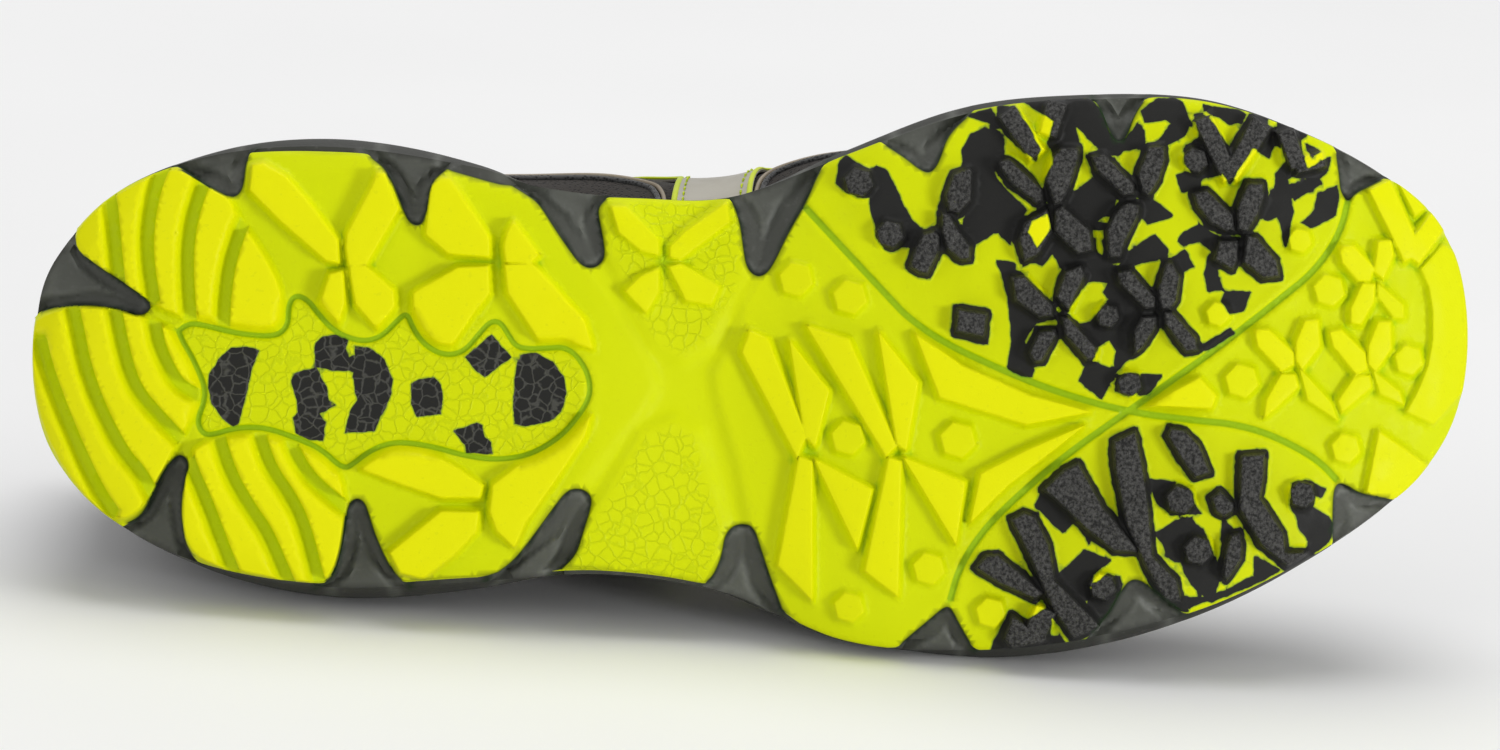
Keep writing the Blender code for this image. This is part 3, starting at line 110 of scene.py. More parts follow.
SOLE_SECTIONS = (
    # station, width, sole inner side, sole outer side, rim inner side, rim outer side
    (0.0000, "heel", -0.038, -0.038, -0.038, -0.038),
    (0.0067, "heel", -0.203, 0.124, -0.172, 0.100),
    (0.0240, "heel", -0.302, 0.228, -0.262, 0.191),
    (0.0580, "heel", -0.412, 0.334, -0.360, 0.284),
    (0.1200, "heel", -0.493, 0.432, -0.436, 0.382),
    (0.2100, "heel", -0.516, 0.484, -0.458, 0.431),
    (0.3100, "heel", -0.475, 0.471, -0.436, 0.425),
    (0.4000, "waist", -0.463, 0.509, -0.436, 0.470),
    (0.4800, "waist", -0.449, 0.554, -0.424, 0.506),
    (0.5600, "ball", -0.395, 0.480, -0.372, 0.430),
    (0.6500, "ball", -0.478, 0.498, -0.447, 0.464),
    (0.7300, "ball", -0.502, 0.478, -0.460, 0.443),
    (0.8100, "ball", -0.498, 0.425, -0.451, 0.382),
    (0.8850, "ball", -0.438, 0.335, -0.399, 0.300),
    (0.9400, "ball", -0.364, 0.243, -0.330, 0.217),
    (0.9740, "ball", -0.294, 0.158, -0.260, 0.130),
    (0.9933, "ball", -0.200, 0.061, -0.180, 0.045),
    (1.0000, "ball", -0.069, -0.069, -0.069, -0.069),
)
RIM_HEIGHTS = (
    # station, stack, share
    (0.00, "heel", 1.07),
    (0.10, "heel", 1.00),
    (0.25, "heel", 0.93),
    (0.40, "heel", 0.88),
    (0.50, "heel", 0.82),
    (0.60, "ball", 1.09),
    (0.70, "ball", 1.00),
    (0.80, "ball", 0.97),
    (0.90, "ball", 0.95),
    (1.00, "ball", 0.92),
)
BEVEL_END = 0.12
ARCH_SPAN = (0.38, 0.60)
SPRING_START = 0.76
SPRING_POWER = 1.8
ROLL = ((0.0000, 1.00), (0.0055, 0.30), (0.0140, 0.00))
MIDSOLE_SIDE = (
    # share of the height, share of the way to the rim outline, bulge in metres
    (0.00, 0.00, 0.0000),
    (0.12, 0.00, 0.0009),
    (0.42, 0.15, 0.0010),
    (0.50, 0.20, -0.0004),
    (0.60, 0.32, 0.0006),
    (0.86, 0.80, 0.0008),
    (1.00, 1.00, 0.0000),
)
UPPER_SECTIONS = (
    # foot station, top station, opening half width, centre, height, share, lean in degrees
    (0.000, 0.030, 0.000, -0.030, "heel tab", 1.000, 82),
    (0.010, 0.034, 0.130, -0.030, "heel tab", 1.000, 82),
    (0.030, 0.050, 0.250, -0.030, "heel tab", 0.985, 82),
    (0.080, 0.092, 0.400, -0.026, "heel tab", 0.910, 82),
    (0.150, 0.150, 0.475, -0.022, "ankle", 1.020, 80),
    (0.220, 0.215, 0.500, -0.020, "ankle", 1.000, 78),
    (0.290, 0.280, 0.475, -0.020, "ankle", 1.070, 72),
    (0.350, 0.335, 0.400, -0.025, "instep", 0.965, 60),
    (0.390, 0.372, 0.335, -0.032, "instep", 0.985, 48),
    (0.450, 0.430, 0.275, -0.042, "instep", 0.910, 38),
    (0.520, 0.500, 0.235, -0.052, "instep", 0.810, 30),
    (0.600, 0.585, 0.200, -0.058, "instep", 0.700, 22),
    (0.650, 0.640, 0.140, -0.064, "throat", 0.985, 12),
    (0.670, 0.662, 0.000, -0.067, "throat", 0.960, 0),
    (0.740, 0.722, 0.000, -0.078, "throat", 0.900, 0),
    (0.820, 0.790, 0.000, -0.090, "toe box", 0.995, 0),
    (0.900, 0.860, 0.000, -0.100, "toe box", 0.970, 0),
    (0.960, 0.920, 0.000, -0.100, "toe box", 0.925, 0),
    (1.000, 0.958, 0.000, -0.090, "toe box", 0.860, 0),
)
COLLAR_FRONT = 0.390
THROAT_FRONT = 0.670
PAD_SPAN = (0.33, 0.45)
PAD_START = 0.45
EYELET_STATIONS = (0.640, 0.600, 0.560, 0.520, 0.480, 0.440)
EYELET_ROW = 0.88

# Notches of the rubber, each as a line from one end of its mouth round its tip to the other
NOTCHES = (
    # side, line on the plan
    ("inner", ((28, 318), (36, 309), (68, 304), (100, 305), (124, 310), (138, 315), (146, 311),
        (149, 304), (142, 297), (120, 282), (97, 267), (77, 253), (71, 242), (73, 226))),
    ("inner", ((170, 164), (182, 169), (197, 179), (212, 188), (226, 195), (233, 196), (239, 191),
        (242, 180), (243, 165), (246, 155), (252, 146))),
    ("inner", ((362, 150), (373, 159), (383, 167), (391, 180), (399, 200), (404, 213), (409, 222),
        (416, 225), (422, 222), (426, 207), (428, 192), (432, 180), (439, 173), (450, 164))),
    ("inner", ((507, 182), (525, 193), (538, 202), (552, 224), (568, 248), (580, 264), (590, 268),
        (599, 264), (604, 256), (602, 237), (598, 218), (597, 208), (602, 201), (610, 194))),
    ("inner", ((721, 192), (730, 198), (736, 208), (741, 226), (744, 250), (747, 267), (756, 276),
        (765, 274), (773, 264), (788, 232), (807, 200), (819, 170), (836, 150))),
    ("inner", ((880, 140), (905, 156), (922, 170), (932, 172), (940, 160), (948, 134), (972, 112))),
    ("inner", ((1090, 88), (1104, 110), (1112, 134), (1120, 142), (1128, 136), (1136, 112),
        (1155, 88))),
    ("inner", ((1341, 150), (1344, 175), (1345, 190), (1352, 201), (1359, 192), (1373, 185),
        (1385, 179), (1400, 172))),
    ("outer", ((118, 528), (135, 519), (144, 509), (154, 488), (163, 471), (170, 461), (177, 455),
        (184, 458), (187, 465), (183, 480), (179, 503), (180, 526), (183, 543), (190, 558),
        (206, 572))),
    ("outer", ((308, 592), (329, 580), (335, 569), (341, 547), (345, 522), (347, 508), (351, 501),
        (357, 499), (363, 503), (367, 514), (372, 531), (380, 551), (388, 567), (396, 578),
        (412, 592))),
    ("outer", ((480, 584), (504, 569), (519, 555), (537, 531), (555, 506), (566, 492), (576, 489),
        (586, 492), (591, 500), (588, 514), (582, 533), (576, 553), (566, 565), (548, 580))),
    ("outer", ((696, 592), (706, 584), (714, 576), (722, 557), (725, 537), (732, 528), (741, 525),
        (753, 527), (760, 548), (769, 576), (785, 619), (794, 640))),
    ("outer", ((890, 656), (912, 636), (930, 621), (946, 607), (952, 610), (958, 622), (964, 633),
        (978, 656))),
    ("outer", ((1088, 640), (1110, 616), (1122, 592), (1132, 580), (1144, 582), (1160, 596),
        (1190, 618))),
    ("outer", ((1338, 560), (1337, 520), (1338, 486), (1348, 484), (1364, 495), (1393, 500),
        (1412, 502))),
)

# Tread parts on the plan: clusters of four blades, hexagonal studs, bars, blocks and pods
STUDS = (
    # along, across, radius, share of the lug height
    (796, 279, 17, 0.5),
    (850, 297, 17, 0.5),
    (848, 438, 17, 0.5),
    (958, 440, 18, 0.5),
    (929, 569, 16, 0.5),
    (849, 608, 15, 0.5),
    (991, 613, 15, 0.5),
    (1332, 290, 16, 0.5),
    (1414, 360, 15, 0.5),
    (1302, 240, 12, 0.5),
    (1219, 314, 12, 0.5),
    (1243, 381, 17, 0.5),
    (1349, 449, 15, 0.5),
    (890, 234, 13, 0.8),
    (859, 182, 14, 0.8),
    (1108, 316, 11, 0.8),
    (1130, 384, 12, 0.8),
    (1196, 160, 12, 0.8),
    (1181, 500, 14, 0.8),
    (1199, 551, 14, 0.8),
    (1304, 495, 13, 0.8),
    (1103, 587, 13, 0.8),
)
BARS = (
    # start along, start across, end along, end across, start width, end width, height share
    (1046, 610, 1034, 638, 20, 20, 1.0),
    (1008, 112, 1037, 154, 18, 16, 1.0),
    (1058, 102, 1048, 134, 18, 16, 1.0),
    (1204, 118, 1231, 178, 18, 14, 1.0),
    (1231, 176, 1264, 122, 14, 20, 1.0),
    (1288, 130, 1300, 166, 16, 14, 1.0),
    (1298, 165, 1326, 158, 14, 14, 1.0),
    (1384, 184, 1418, 256, 24, 20, 0.7),
    (1416, 256, 1446, 218, 20, 20, 0.7),
)
BLOCKS = (
    # share of the lug height, then the corners
    (0.8, ((750, 331), (768, 339), (806, 436), (797, 457), (742, 352))),
    (0.8, ((790, 341), (829, 391), (815, 446), (805, 436))),
    (0.8, ((799, 457), (812, 462), (812, 600), (778, 566))),
    (0.8, ((815, 460), (872, 490), (857, 548))),
    (0.8, ((807, 326), (849, 340), (896, 446), (886, 456))),
    (0.8, ((879, 333), (918, 383), (906, 450), (897, 444))),
    (0.8, ((889, 458), (901, 462), (898, 596), (865, 571))),
    (0.8, ((904, 458), (965, 483), (956, 544))),
    (0.8, ((916, 334), (962, 366), (1030, 396), (1090, 412), (1026, 424), (940, 397))),
    (0.8, ((971, 522), (981, 474), (1028, 450), (1084, 426), (1046, 456), (1008, 485))),
    (0.8, ((1150, 405), (1200, 378), (1216, 396), (1212, 408))),
    (1.0, ((252, 165), (262, 163), (284, 176), (306, 200), (337, 240), (338, 262), (326, 260),
        (280, 220), (250, 190))),
    (1.0, ((377, 172), (384, 173), (398, 209), (366, 264), (349, 265), (346, 247), (347, 234),
        (372, 186))),
    (1.0, ((342, 272), (344, 303), (338, 322), (320, 304), (330, 274))),
    (1.0, ((350, 267), (365, 266), (393, 291), (394, 306), (377, 328), (356, 304), (352, 283))),
    (1.0, ((431, 186), (441, 178), (449, 178), (489, 238), (489, 256), (448, 253), (426, 234))),
    (1.0, ((513, 222), (538, 255), (531, 262), (506, 262), (504, 247), (507, 232))),
    (1.0, ((458, 268), (488, 267), (489, 293), (474, 312), (452, 344), (436, 342), (420, 330),
        (413, 316), (414, 293))),
    (1.0, ((505, 265), (532, 264), (584, 320), (592, 348), (566, 340), (540, 341), (508, 293))),
    (1.0, ((362, 469), (394, 446), (423, 450), (458, 469), (482, 486), (479, 497), (441, 497),
        (402, 484))),
    (1.0, ((478, 513), (476, 531), (453, 555), (423, 578), (400, 573), (390, 553), (441, 512))),
    (1.0, ((493, 485), (521, 464), (566, 440), (590, 417), (584, 437), (551, 486), (525, 522),
        (514, 547), (497, 531), (490, 512))),
    (0.6, ((611, 206), (625, 206), (658, 240), (658, 254), (641, 250), (619, 232))),
    (0.6, ((726, 202), (729, 221), (680, 259), (670, 256), (670, 247), (684, 232))),
    (0.6, ((625, 291), (641, 276), (658, 269), (658, 292), (646, 312))),
    (0.6, ((669, 267), (680, 264), (719, 287), (711, 304), (686, 300))),
    (0.7, ((1342, 246), (1357, 246), (1377, 267), (1373, 280), (1361, 280), (1345, 262))),
    (0.7, ((1382, 241), (1395, 240), (1397, 255), (1387, 278), (1378, 271))),
    (0.7, ((1366, 283), (1378, 284), (1377, 301), (1364, 324), (1354, 322), (1354, 308))),
    (0.5, ((1382, 283), (1408, 305), (1408, 317), (1398, 317), (1382, 296))),
    (0.7, ((1256, 330), (1270, 330), (1295, 353), (1295, 364), (1283, 371), (1259, 346))),
    (0.7, ((1307, 321), (1320, 320), (1322, 346), (1304, 369), (1298, 360), (1298, 342))),
    (0.6, ((1283, 374), (1297, 375), (1300, 387), (1275, 410), (1266, 417), (1268, 400))),
    (0.5, ((1302, 369), (1334, 403), (1340, 420), (1310, 400))),
    (0.7, ((1332, 332), (1344, 330), (1368, 353), (1370, 369), (1359, 374), (1336, 346))),
    (0.7, ((1382, 322), (1394, 322), (1395, 349), (1379, 371), (1372, 364), (1372, 346))),
    (0.6, ((1359, 375), (1373, 376), (1375, 387), (1345, 412), (1341, 401))),
    (0.5, ((1377, 371), (1404, 392), (1408, 404), (1384, 394))),
    (0.6, ((1404, 180), (1432, 206), (1421, 214))),
    (0.5, ((1427, 268), (1435, 286), (1439, 310), (1439, 340), (1434, 366), (1424, 391),
           (1412, 412), (1440, 424), (1482, 380), (1482, 300), (1470, 256), (1450, 244))),
    (0.6, ((1383, 432), (1433, 466), (1415, 494), (1390, 504), (1371, 492))),
)
PODS = (
    ((72, 242), (76, 228), (96, 208), (112, 197), (146, 178), (172, 169), (184, 171), (212, 190),
        (228, 199), (236, 218), (248, 234), (264, 258), (278, 284), (282, 312), (271, 330), (230, 327),
        (200, 322), (152, 303), (120, 283), (97, 268), (79, 254)),
    ((30, 330), (34, 318), (68, 308), (100, 309), (124, 314), (142, 319), (165, 328), (180, 342),
        (192, 364), (199, 388), (197, 404), (188, 421), (173, 446), (158, 478), (143, 503), (127, 517),
        (112, 518), (96, 507), (77, 490), (50, 450), (34, 408), (29, 370)),
    ((190, 462), (198, 446), (230, 436), (268, 436), (290, 442), (310, 452), (330, 466), (340, 480),
        (343, 506), (341, 533), (336, 560), (326, 578), (307, 583), (250, 573), (212, 564), (195, 555),
        (186, 540), (183, 520), (185, 484)),
)
GROOVES = (
    ((106, 196), (109, 207), (112, 236), (114, 256), (117, 282)),
    ((160, 168), (154, 184), (147, 216), (145, 255), (152, 300)),
    ((207, 176), (200, 186), (189, 222), (185, 264), (189, 322)),
    ((246, 214), (240, 226), (228, 262), (223, 299), (222, 332)),
    ((36, 340), (41, 361), (54, 398), (74, 446), (96, 492), (110, 512)),
    ((69, 304), (71, 312), (76, 335), (82, 365), (97, 407), (121, 453), (139, 472), (153, 498)),
    ((113, 308), (115, 318), (120, 343), (128, 374), (139, 396), (160, 419), (180, 440)),
    ((152, 318), (154, 327), (158, 348), (173, 379), (184, 389), (200, 397)),
    ((187, 458), (190, 468), (204, 499), (217, 534), (231, 572)),
    ((217, 432), (219, 442), (230, 476), (248, 507), (267, 534), (287, 584)),
    ((257, 430), (259, 438), (269, 468), (288, 495), (303, 524), (318, 586)),
    ((289, 436), (292, 450), (306, 474), (321, 489), (344, 508)),
)

# Black rubber: lugs with a grained top, thin flat areas, and lime islands within them
BLACK_LUGS = (
    ((998, 160), (1010, 158), (1043, 189), (1043, 200), (1037, 204), (1011, 184), (1000, 169)),
    ((1052, 156), (1061, 147), (1080, 147), (1079, 160), (1071, 186), (1062, 204), (1054, 205),
        (1045, 180)),
    ((1024, 222), (1048, 208), (1053, 232), (1038, 256), (1024, 262), (1018, 240)),
    ((1054, 210), (1063, 205), (1091, 230), (1094, 251), (1078, 255), (1054, 232)),
    ((1011, 276), (1025, 275), (1053, 305), (1054, 316), (1039, 318), (1015, 301)),
    ((1039, 331), (1056, 329), (1057, 336), (1043, 362), (1034, 363), (1028, 353)),
    ((1065, 271), (1082, 264), (1086, 275), (1076, 297), (1069, 312), (1055, 297)),
    ((1061, 316), (1069, 316), (1097, 347), (1096, 360), (1087, 361), (1065, 336)),
    ((1091, 156), (1105, 153), (1135, 184), (1135, 194), (1123, 197), (1115, 188), (1096, 171)),
    ((1148, 146), (1165, 145), (1166, 160), (1160, 180), (1149, 197), (1142, 193), (1137, 175)),
    ((1127, 201), (1140, 204), (1140, 214), (1127, 240), (1121, 258), (1108, 258), (1106, 230),
        (1115, 212)),
    ((1116, 272), (1131, 269), (1156, 297), (1156, 308), (1145, 310), (1119, 284)),
    ((1166, 262), (1173, 262), (1181, 277), (1178, 301), (1171, 310), (1161, 310), (1157, 290)),
    ((1142, 316), (1158, 316), (1156, 329), (1143, 349), (1134, 355), (1133, 331)),
    ((1163, 310), (1173, 311), (1197, 338), (1199, 351), (1186, 353), (1165, 325)),
    ((1193, 193), (1208, 189), (1234, 214), (1236, 230), (1227, 232), (1210, 223), (1197, 206)),
    ((1248, 182), (1265, 182), (1266, 197), (1260, 214), (1249, 232), (1238, 230), (1237, 208)),
    ((1219, 240), (1239, 240), (1239, 260), (1234, 271), (1214, 260)),
    ((1247, 234), (1258, 236), (1279, 260), (1282, 277), (1264, 279), (1243, 262), (1245, 249)),
    ((915, 247), (923, 233), (935, 230), (940, 236), (940, 251), (928, 275), (920, 274), (909, 267)),
    ((953, 173), (970, 167), (973, 171), (972, 201), (959, 214), (948, 212), (945, 195)),
    ((941, 212), (950, 213), (957, 226), (971, 246), (971, 260), (961, 261), (946, 249), (941, 231)),
    ((957, 308), (988, 313), (985, 338), (955, 332)),
    ((974, 568), (986, 555), (998, 554), (1024, 575), (1044, 594), (1035, 600), (999, 584)),
    ((1010, 519), (1024, 512), (1036, 516), (1050, 545), (1056, 580), (1104, 628), (1074, 640),
        (1052, 609), (1027, 553)),
    ((1042, 490), (1064, 469), (1079, 462), (1104, 507), (1136, 546), (1140, 553), (1114, 552),
        (1086, 530), (1055, 500)),
    ((1113, 441), (1136, 430), (1144, 467), (1150, 512), (1154, 556), (1178, 580), (1183, 603),
        (1164, 600), (1146, 568), (1126, 526), (1114, 467)),
    ((1167, 436), (1171, 427), (1186, 430), (1200, 444), (1212, 473), (1195, 479), (1181, 460)),
    ((1211, 498), (1221, 490), (1236, 505), (1234, 512), (1225, 518), (1216, 513)),
    ((1241, 455), (1267, 453), (1265, 482), (1262, 498), (1286, 534), (1288, 553), (1310, 553),
        (1290, 568), (1262, 546), (1239, 509)),
    ((1231, 535), (1241, 532), (1244, 545), (1243, 560), (1228, 582), (1223, 575), (1226, 550)),
    ((1012, 614), (1027, 625), (1047, 613), (1048, 644), (1012, 650), (1004, 640)),
)
BLACK_FLATS = (
    ((841, 160), (847, 155), (857, 163), (867, 168), (877, 180), (872, 188), (870, 196), (859, 196),
        (846, 191), (837, 182)),
    ((870, 171), (877, 166), (885, 169), (896, 188), (903, 206), (913, 222), (923, 230), (918, 246),
        (902, 246), (892, 251), (885, 248), (877, 236), (877, 223), (872, 210)),
    ((939, 205), (953, 173), (970, 167), (972, 201), (959, 214), (954, 223), (976, 243), (972, 253),
        (963, 261), (954, 260), (946, 249), (941, 219)),
    ((972, 134), (985, 128), (1000, 131), (1006, 143), (1004, 155), (993, 171), (999, 182), (1026, 210),
        (1010, 243), (998, 230), (976, 243), (963, 231), (970, 201), (973, 188), (965, 167),
        (964, 149)),
    ((1063, 201), (1094, 178), (1117, 197), (1104, 232), (1091, 230)),
    ((998, 261), (1015, 264), (1013, 301), (1037, 321), (1024, 340), (1029, 360), (1034, 370),
        (1032, 376), (1022, 375), (1009, 367), (1013, 340), (1011, 308), (1006, 282)),
    ((1018, 246), (1037, 262), (1052, 233), (1078, 255), (1094, 251), (1108, 258), (1118, 271),
        (1119, 284), (1145, 310), (1133, 331), (1134, 355), (1117, 370), (1117, 351), (1110, 341),
        (1097, 347), (1069, 316), (1091, 321), (1109, 299), (1104, 292), (1108, 283), (1089, 282),
        (1082, 264), (1065, 271), (1053, 255), (1043, 266)),
    ((1089, 363), (1117, 370), (1102, 398), (1080, 381)),
    ((961, 304), (990, 310), (987, 344), (953, 336)),
    ((970, 114), (991, 108), (1000, 126), (996, 127), (989, 120), (974, 116)),
    ((1000, 106), (1015, 106), (1039, 147), (1037, 161), (1006, 134), (998, 119)),
    ((1026, 100), (1065, 95), (1093, 100), (1102, 110), (1110, 132), (1120, 143), (1120, 154),
        (1106, 153), (1095, 143), (1074, 119), (1080, 148), (1060, 150), (1048, 145), (1052, 135),
        (1056, 120)),
    ((1080, 100), (1090, 98), (1104, 112), (1110, 136), (1127, 139), (1139, 124), (1145, 131),
        (1145, 145), (1119, 151), (1106, 150), (1095, 142), (1087, 130), (1080, 124)),
    ((1143, 110), (1160, 98), (1176, 98), (1184, 101), (1191, 121), (1186, 134), (1162, 147),
        (1158, 143), (1175, 123), (1167, 118), (1147, 121)),
    ((1141, 197), (1149, 197), (1162, 206), (1173, 215), (1149, 223), (1143, 214)),
    ((1128, 253), (1156, 235), (1168, 249), (1167, 256), (1134, 264), (1118, 271)),
    ((1173, 260), (1186, 250), (1191, 260), (1195, 266), (1184, 271)),
    ((1186, 147), (1201, 137), (1210, 152), (1221, 165), (1221, 174), (1198, 178), (1186, 162)),
    ((1178, 175), (1188, 172), (1201, 180), (1201, 188), (1184, 191)),
    ((1197, 114), (1204, 113), (1231, 148), (1253, 113), (1271, 117), (1269, 124), (1236, 171),
        (1231, 183), (1221, 165), (1210, 152), (1197, 123)),
    ((1206, 104), (1214, 106), (1241, 109), (1247, 113), (1241, 121), (1232, 123), (1221, 115),
        (1212, 113)),
    ((1269, 128), (1282, 126), (1284, 143), (1275, 145), (1271, 156), (1264, 152), (1253, 145)),
    ((1282, 121), (1301, 124), (1310, 133), (1303, 139), (1305, 158), (1308, 171), (1334, 156),
        (1331, 169), (1321, 178), (1294, 175), (1286, 152)),
    ((1311, 143), (1322, 150), (1314, 155)),
    ((1180, 240), (1186, 232), (1201, 225), (1220, 237), (1214, 251), (1201, 240), (1184, 244)),
    ((1210, 256), (1215, 264), (1223, 288), (1210, 291), (1207, 273)),
    ((1227, 292), (1252, 292), (1245, 310), (1230, 312), (1224, 301)),
    ((1279, 173), (1288, 162), (1290, 184), (1295, 210), (1288, 245), (1282, 214), (1269, 219),
        (1262, 214), (1266, 201), (1278, 188)),
    ((1340, 185), (1342, 197), (1338, 214), (1314, 226), (1305, 222), (1318, 210), (1321, 195)),
    ((1294, 184), (1325, 182), (1297, 199)),
    ((1199, 349), (1232, 329), (1235, 333), (1210, 349)),
    ((1142, 375), (1162, 376), (1149, 394), (1139, 394)),
    ((1118, 376), (1138, 374), (1142, 388), (1128, 396), (1117, 390)),
    ((1037, 505), (1042, 494), (1052, 500), (1075, 521), (1064, 532), (1052, 522)),
    ((1080, 525), (1093, 537), (1090, 543), (1082, 529)),
    ((1055, 578), (1068, 568), (1085, 551), (1111, 561), (1101, 568), (1093, 575), (1089, 588),
        (1090, 598), (1083, 601), (1080, 594), (1063, 587)),
    ((1094, 588), (1108, 575), (1120, 578), (1122, 585), (1120, 596), (1113, 622), (1105, 627),
        (1091, 622), (1089, 608), (1091, 596)),
    ((1063, 586), (1080, 593), (1086, 608), (1105, 629), (1075, 602)),
    ((1150, 592), (1165, 601), (1190, 612), (1165, 608), (1156, 596)),
    ((1150, 481), (1176, 483), (1173, 487), (1184, 486), (1193, 495), (1194, 504), (1202, 514),
        (1187, 514), (1173, 515), (1158, 502)),
    ((1157, 535), (1176, 523), (1184, 518), (1192, 519), (1197, 526), (1204, 530), (1211, 549),
        (1222, 571), (1216, 597), (1207, 597), (1194, 585), (1187, 574), (1184, 563), (1169, 557),
        (1164, 543)),
    ((1165, 590), (1184, 599), (1214, 599), (1192, 608), (1178, 612)),
    ((1225, 520), (1235, 532), (1228, 535), (1223, 542)),
    ((1257, 558), (1263, 561), (1282, 571), (1262, 583), (1240, 592), (1214, 602), (1217, 596),
        (1237, 588), (1249, 581), (1258, 579)),
    ((1267, 509), (1277, 518), (1288, 535), (1285, 546), (1262, 546), (1250, 520)),
    ((1295, 484), (1308, 481), (1329, 490), (1324, 497), (1317, 495), (1315, 508), (1331, 518),
        (1338, 526), (1333, 543), (1316, 555), (1312, 540), (1302, 528), (1300, 516), (1293, 506)),
    ((1286, 548), (1316, 552), (1318, 557), (1290, 572), (1281, 566)),
    ((1009, 616), (1013, 612), (1027, 623), (1048, 612), (1049, 638), (1061, 637), (1066, 645),
        (1049, 650), (1013, 654), (993, 651), (996, 642)),
)
HEEL_BLACKS = (
    ((257, 351), (246, 347), (230, 348), (217, 360), (208, 375), (207, 388), (211, 404), (221, 419),
        (232, 426), (237, 423), (243, 402), (250, 369)),
    ((314, 343), (322, 337), (335, 335), (347, 340), (344, 349), (352, 366), (350, 370), (335, 371),
        (314, 367)),
    ((315, 367), (292, 374), (290, 381), (296, 402), (298, 413), (292, 418), (295, 433), (306, 439),
        (322, 441), (324, 422), (319, 414), (334, 405), (328, 400), (325, 387), (318, 372)),
    ((354, 346), (368, 348), (383, 360), (391, 379), (390, 393), (386, 405), (378, 420), (373, 431),
        (344, 433), (349, 412), (356, 400), (352, 377), (354, 360)),
    ((410, 384), (418, 380), (433, 377), (440, 385), (442, 400), (440, 414), (416, 416), (411, 404)),
    ((491, 335), (510, 357), (484, 377), (477, 372), (464, 357)),
    ((453, 431), (476, 423), (481, 426), (484, 437), (490, 443), (492, 454), (466, 453), (464, 445)),
    ((519, 355), (536, 353), (552, 362), (563, 377), (565, 394), (560, 412), (553, 420), (525, 427),
        (514, 424), (513, 400), (516, 366)),
)
LIME_ISLANDS = (
    ((1019, 113), (1033, 114), (1033, 128), (1030, 127)),
    ((1039, 126), (1049, 127), (1048, 143), (1053, 152), (1053, 165), (1045, 178), (1043, 188),
        (1024, 160), (1005, 154), (1006, 143), (1019, 149), (1037, 161), (1040, 149), (1033, 134)),
    ((1032, 221), (1049, 212), (1051, 230), (1037, 249), (1028, 232)),
    ((1099, 221), (1104, 217), (1110, 217), (1108, 223)),
    ((1094, 230), (1104, 230), (1104, 238), (1094, 237)),
    ((1024, 273), (1043, 266), (1053, 255), (1062, 269), (1058, 277), (1054, 290), (1053, 301),
        (1050, 299), (1034, 284)),
    ((1068, 313), (1076, 299), (1089, 282), (1108, 283), (1104, 292), (1109, 299), (1091, 321),
        (1080, 323)),
    ((1099, 347), (1110, 341), (1117, 351), (1110, 364), (1093, 361)),
)

# Fine parting lines in the rubber, and the soft valleys of the waist
PARTING_LINES = (
    # width, then the line round the heel's middle and the two arcs of the forefoot
    (0.0011, ((177, 331), (183, 326), (192, 323), (211, 327), (230, 332), (250, 335), (269, 336),
        (280, 333), (287, 323), (287, 309), (290, 299), (297, 295), (308, 301), (318, 315), (333, 331),
        (351, 339), (366, 341), (381, 336), (393, 324), (402, 315), (407, 315), (412, 328), (422, 343),
        (437, 353), (452, 355), (466, 349), (479, 333), (490, 321), (500, 322), (508, 335), (515, 346),
        (527, 349), (548, 348), (563, 347), (575, 354), (586, 370), (590, 386), (588, 400), (578, 416),
        (562, 435), (541, 449), (521, 457), (494, 460), (464, 456), (433, 447), (402, 442), (382, 445),
        (366, 453), (351, 465), (345, 468), (337, 465), (321, 450), (300, 440), (269, 429), (250, 427),
        (230, 429), (211, 435), (202, 434), (197, 426), (197, 417), (202, 404), (204, 390), (198, 373),
        (190, 356), (181, 341), (177, 331))),
    (0.0014, ((805, 206), (850, 255), (892, 300), (907, 316), (941, 341), (1000, 369), (1060, 393),
        (1128, 412), (1200, 421), (1234, 424), (1268, 433), (1302, 449), (1325, 464), (1340, 480))),
    (0.0014, ((951, 600), (959, 571), (975, 543), (1000, 513), (1060, 460), (1128, 412), (1200, 362),
        (1257, 319), (1286, 296), (1314, 274), (1336, 246), (1347, 222), (1352, 200))),
)
TOE_LINES = (
    # fine moulded lines near the toe's edge
    ((1452, 290), (1460, 320), (1461, 350), (1455, 380), (1446, 404)),
    ((1457, 286), (1465, 318), (1466, 352), (1460, 384), (1450, 408)),
    ((1462, 284), (1470, 318), (1471, 354), (1464, 388), (1455, 410)),
)
PLATEAUS = (
    ((20, 100), (510, 120), (560, 232), (599, 287), (630, 335), (646, 366), (652, 386), (640, 410),
        (606, 450), (576, 486), (556, 530), (500, 640), (20, 640)),
    ((602, 199), (606, 226), (611, 251), (634, 306), (655, 345), (682, 358), (705, 345), (722, 316),
        (737, 292), (743, 275), (740, 200), (700, 150), (612, 150)),
    ((558, 574), (580, 538), (602, 504), (624, 466), (643, 433), (673, 422), (696, 433), (708, 478),
        (723, 527), (716, 560), (700, 620), (560, 620)),
    ((745, 300), (740, 339), (724, 360), (717, 375), (720, 395), (730, 430), (740, 463), (752, 524),
        (770, 640), (1500, 700), (1500, 50), (840, 50), (790, 230)),
)

# The tongue's ends, and its free part above the eyestay
TONGUE_END = 0.700
TONGUE_TOP = 0.430
TONGUE_FREE = (
    # step back and up as shares of the rise, half width share, crown share
    (-0.34, 0.34, 0.95, 0.36),
    (-0.56, 0.62, 1.06, 0.34),
    (-0.70, 0.88, 1.12, 0.32),
    (-0.78, 1.04, 1.05, 0.28),
    (-0.81, 1.12, 0.90, 0.24),
    (-0.825, 1.165, 0.62, 0.18),
)

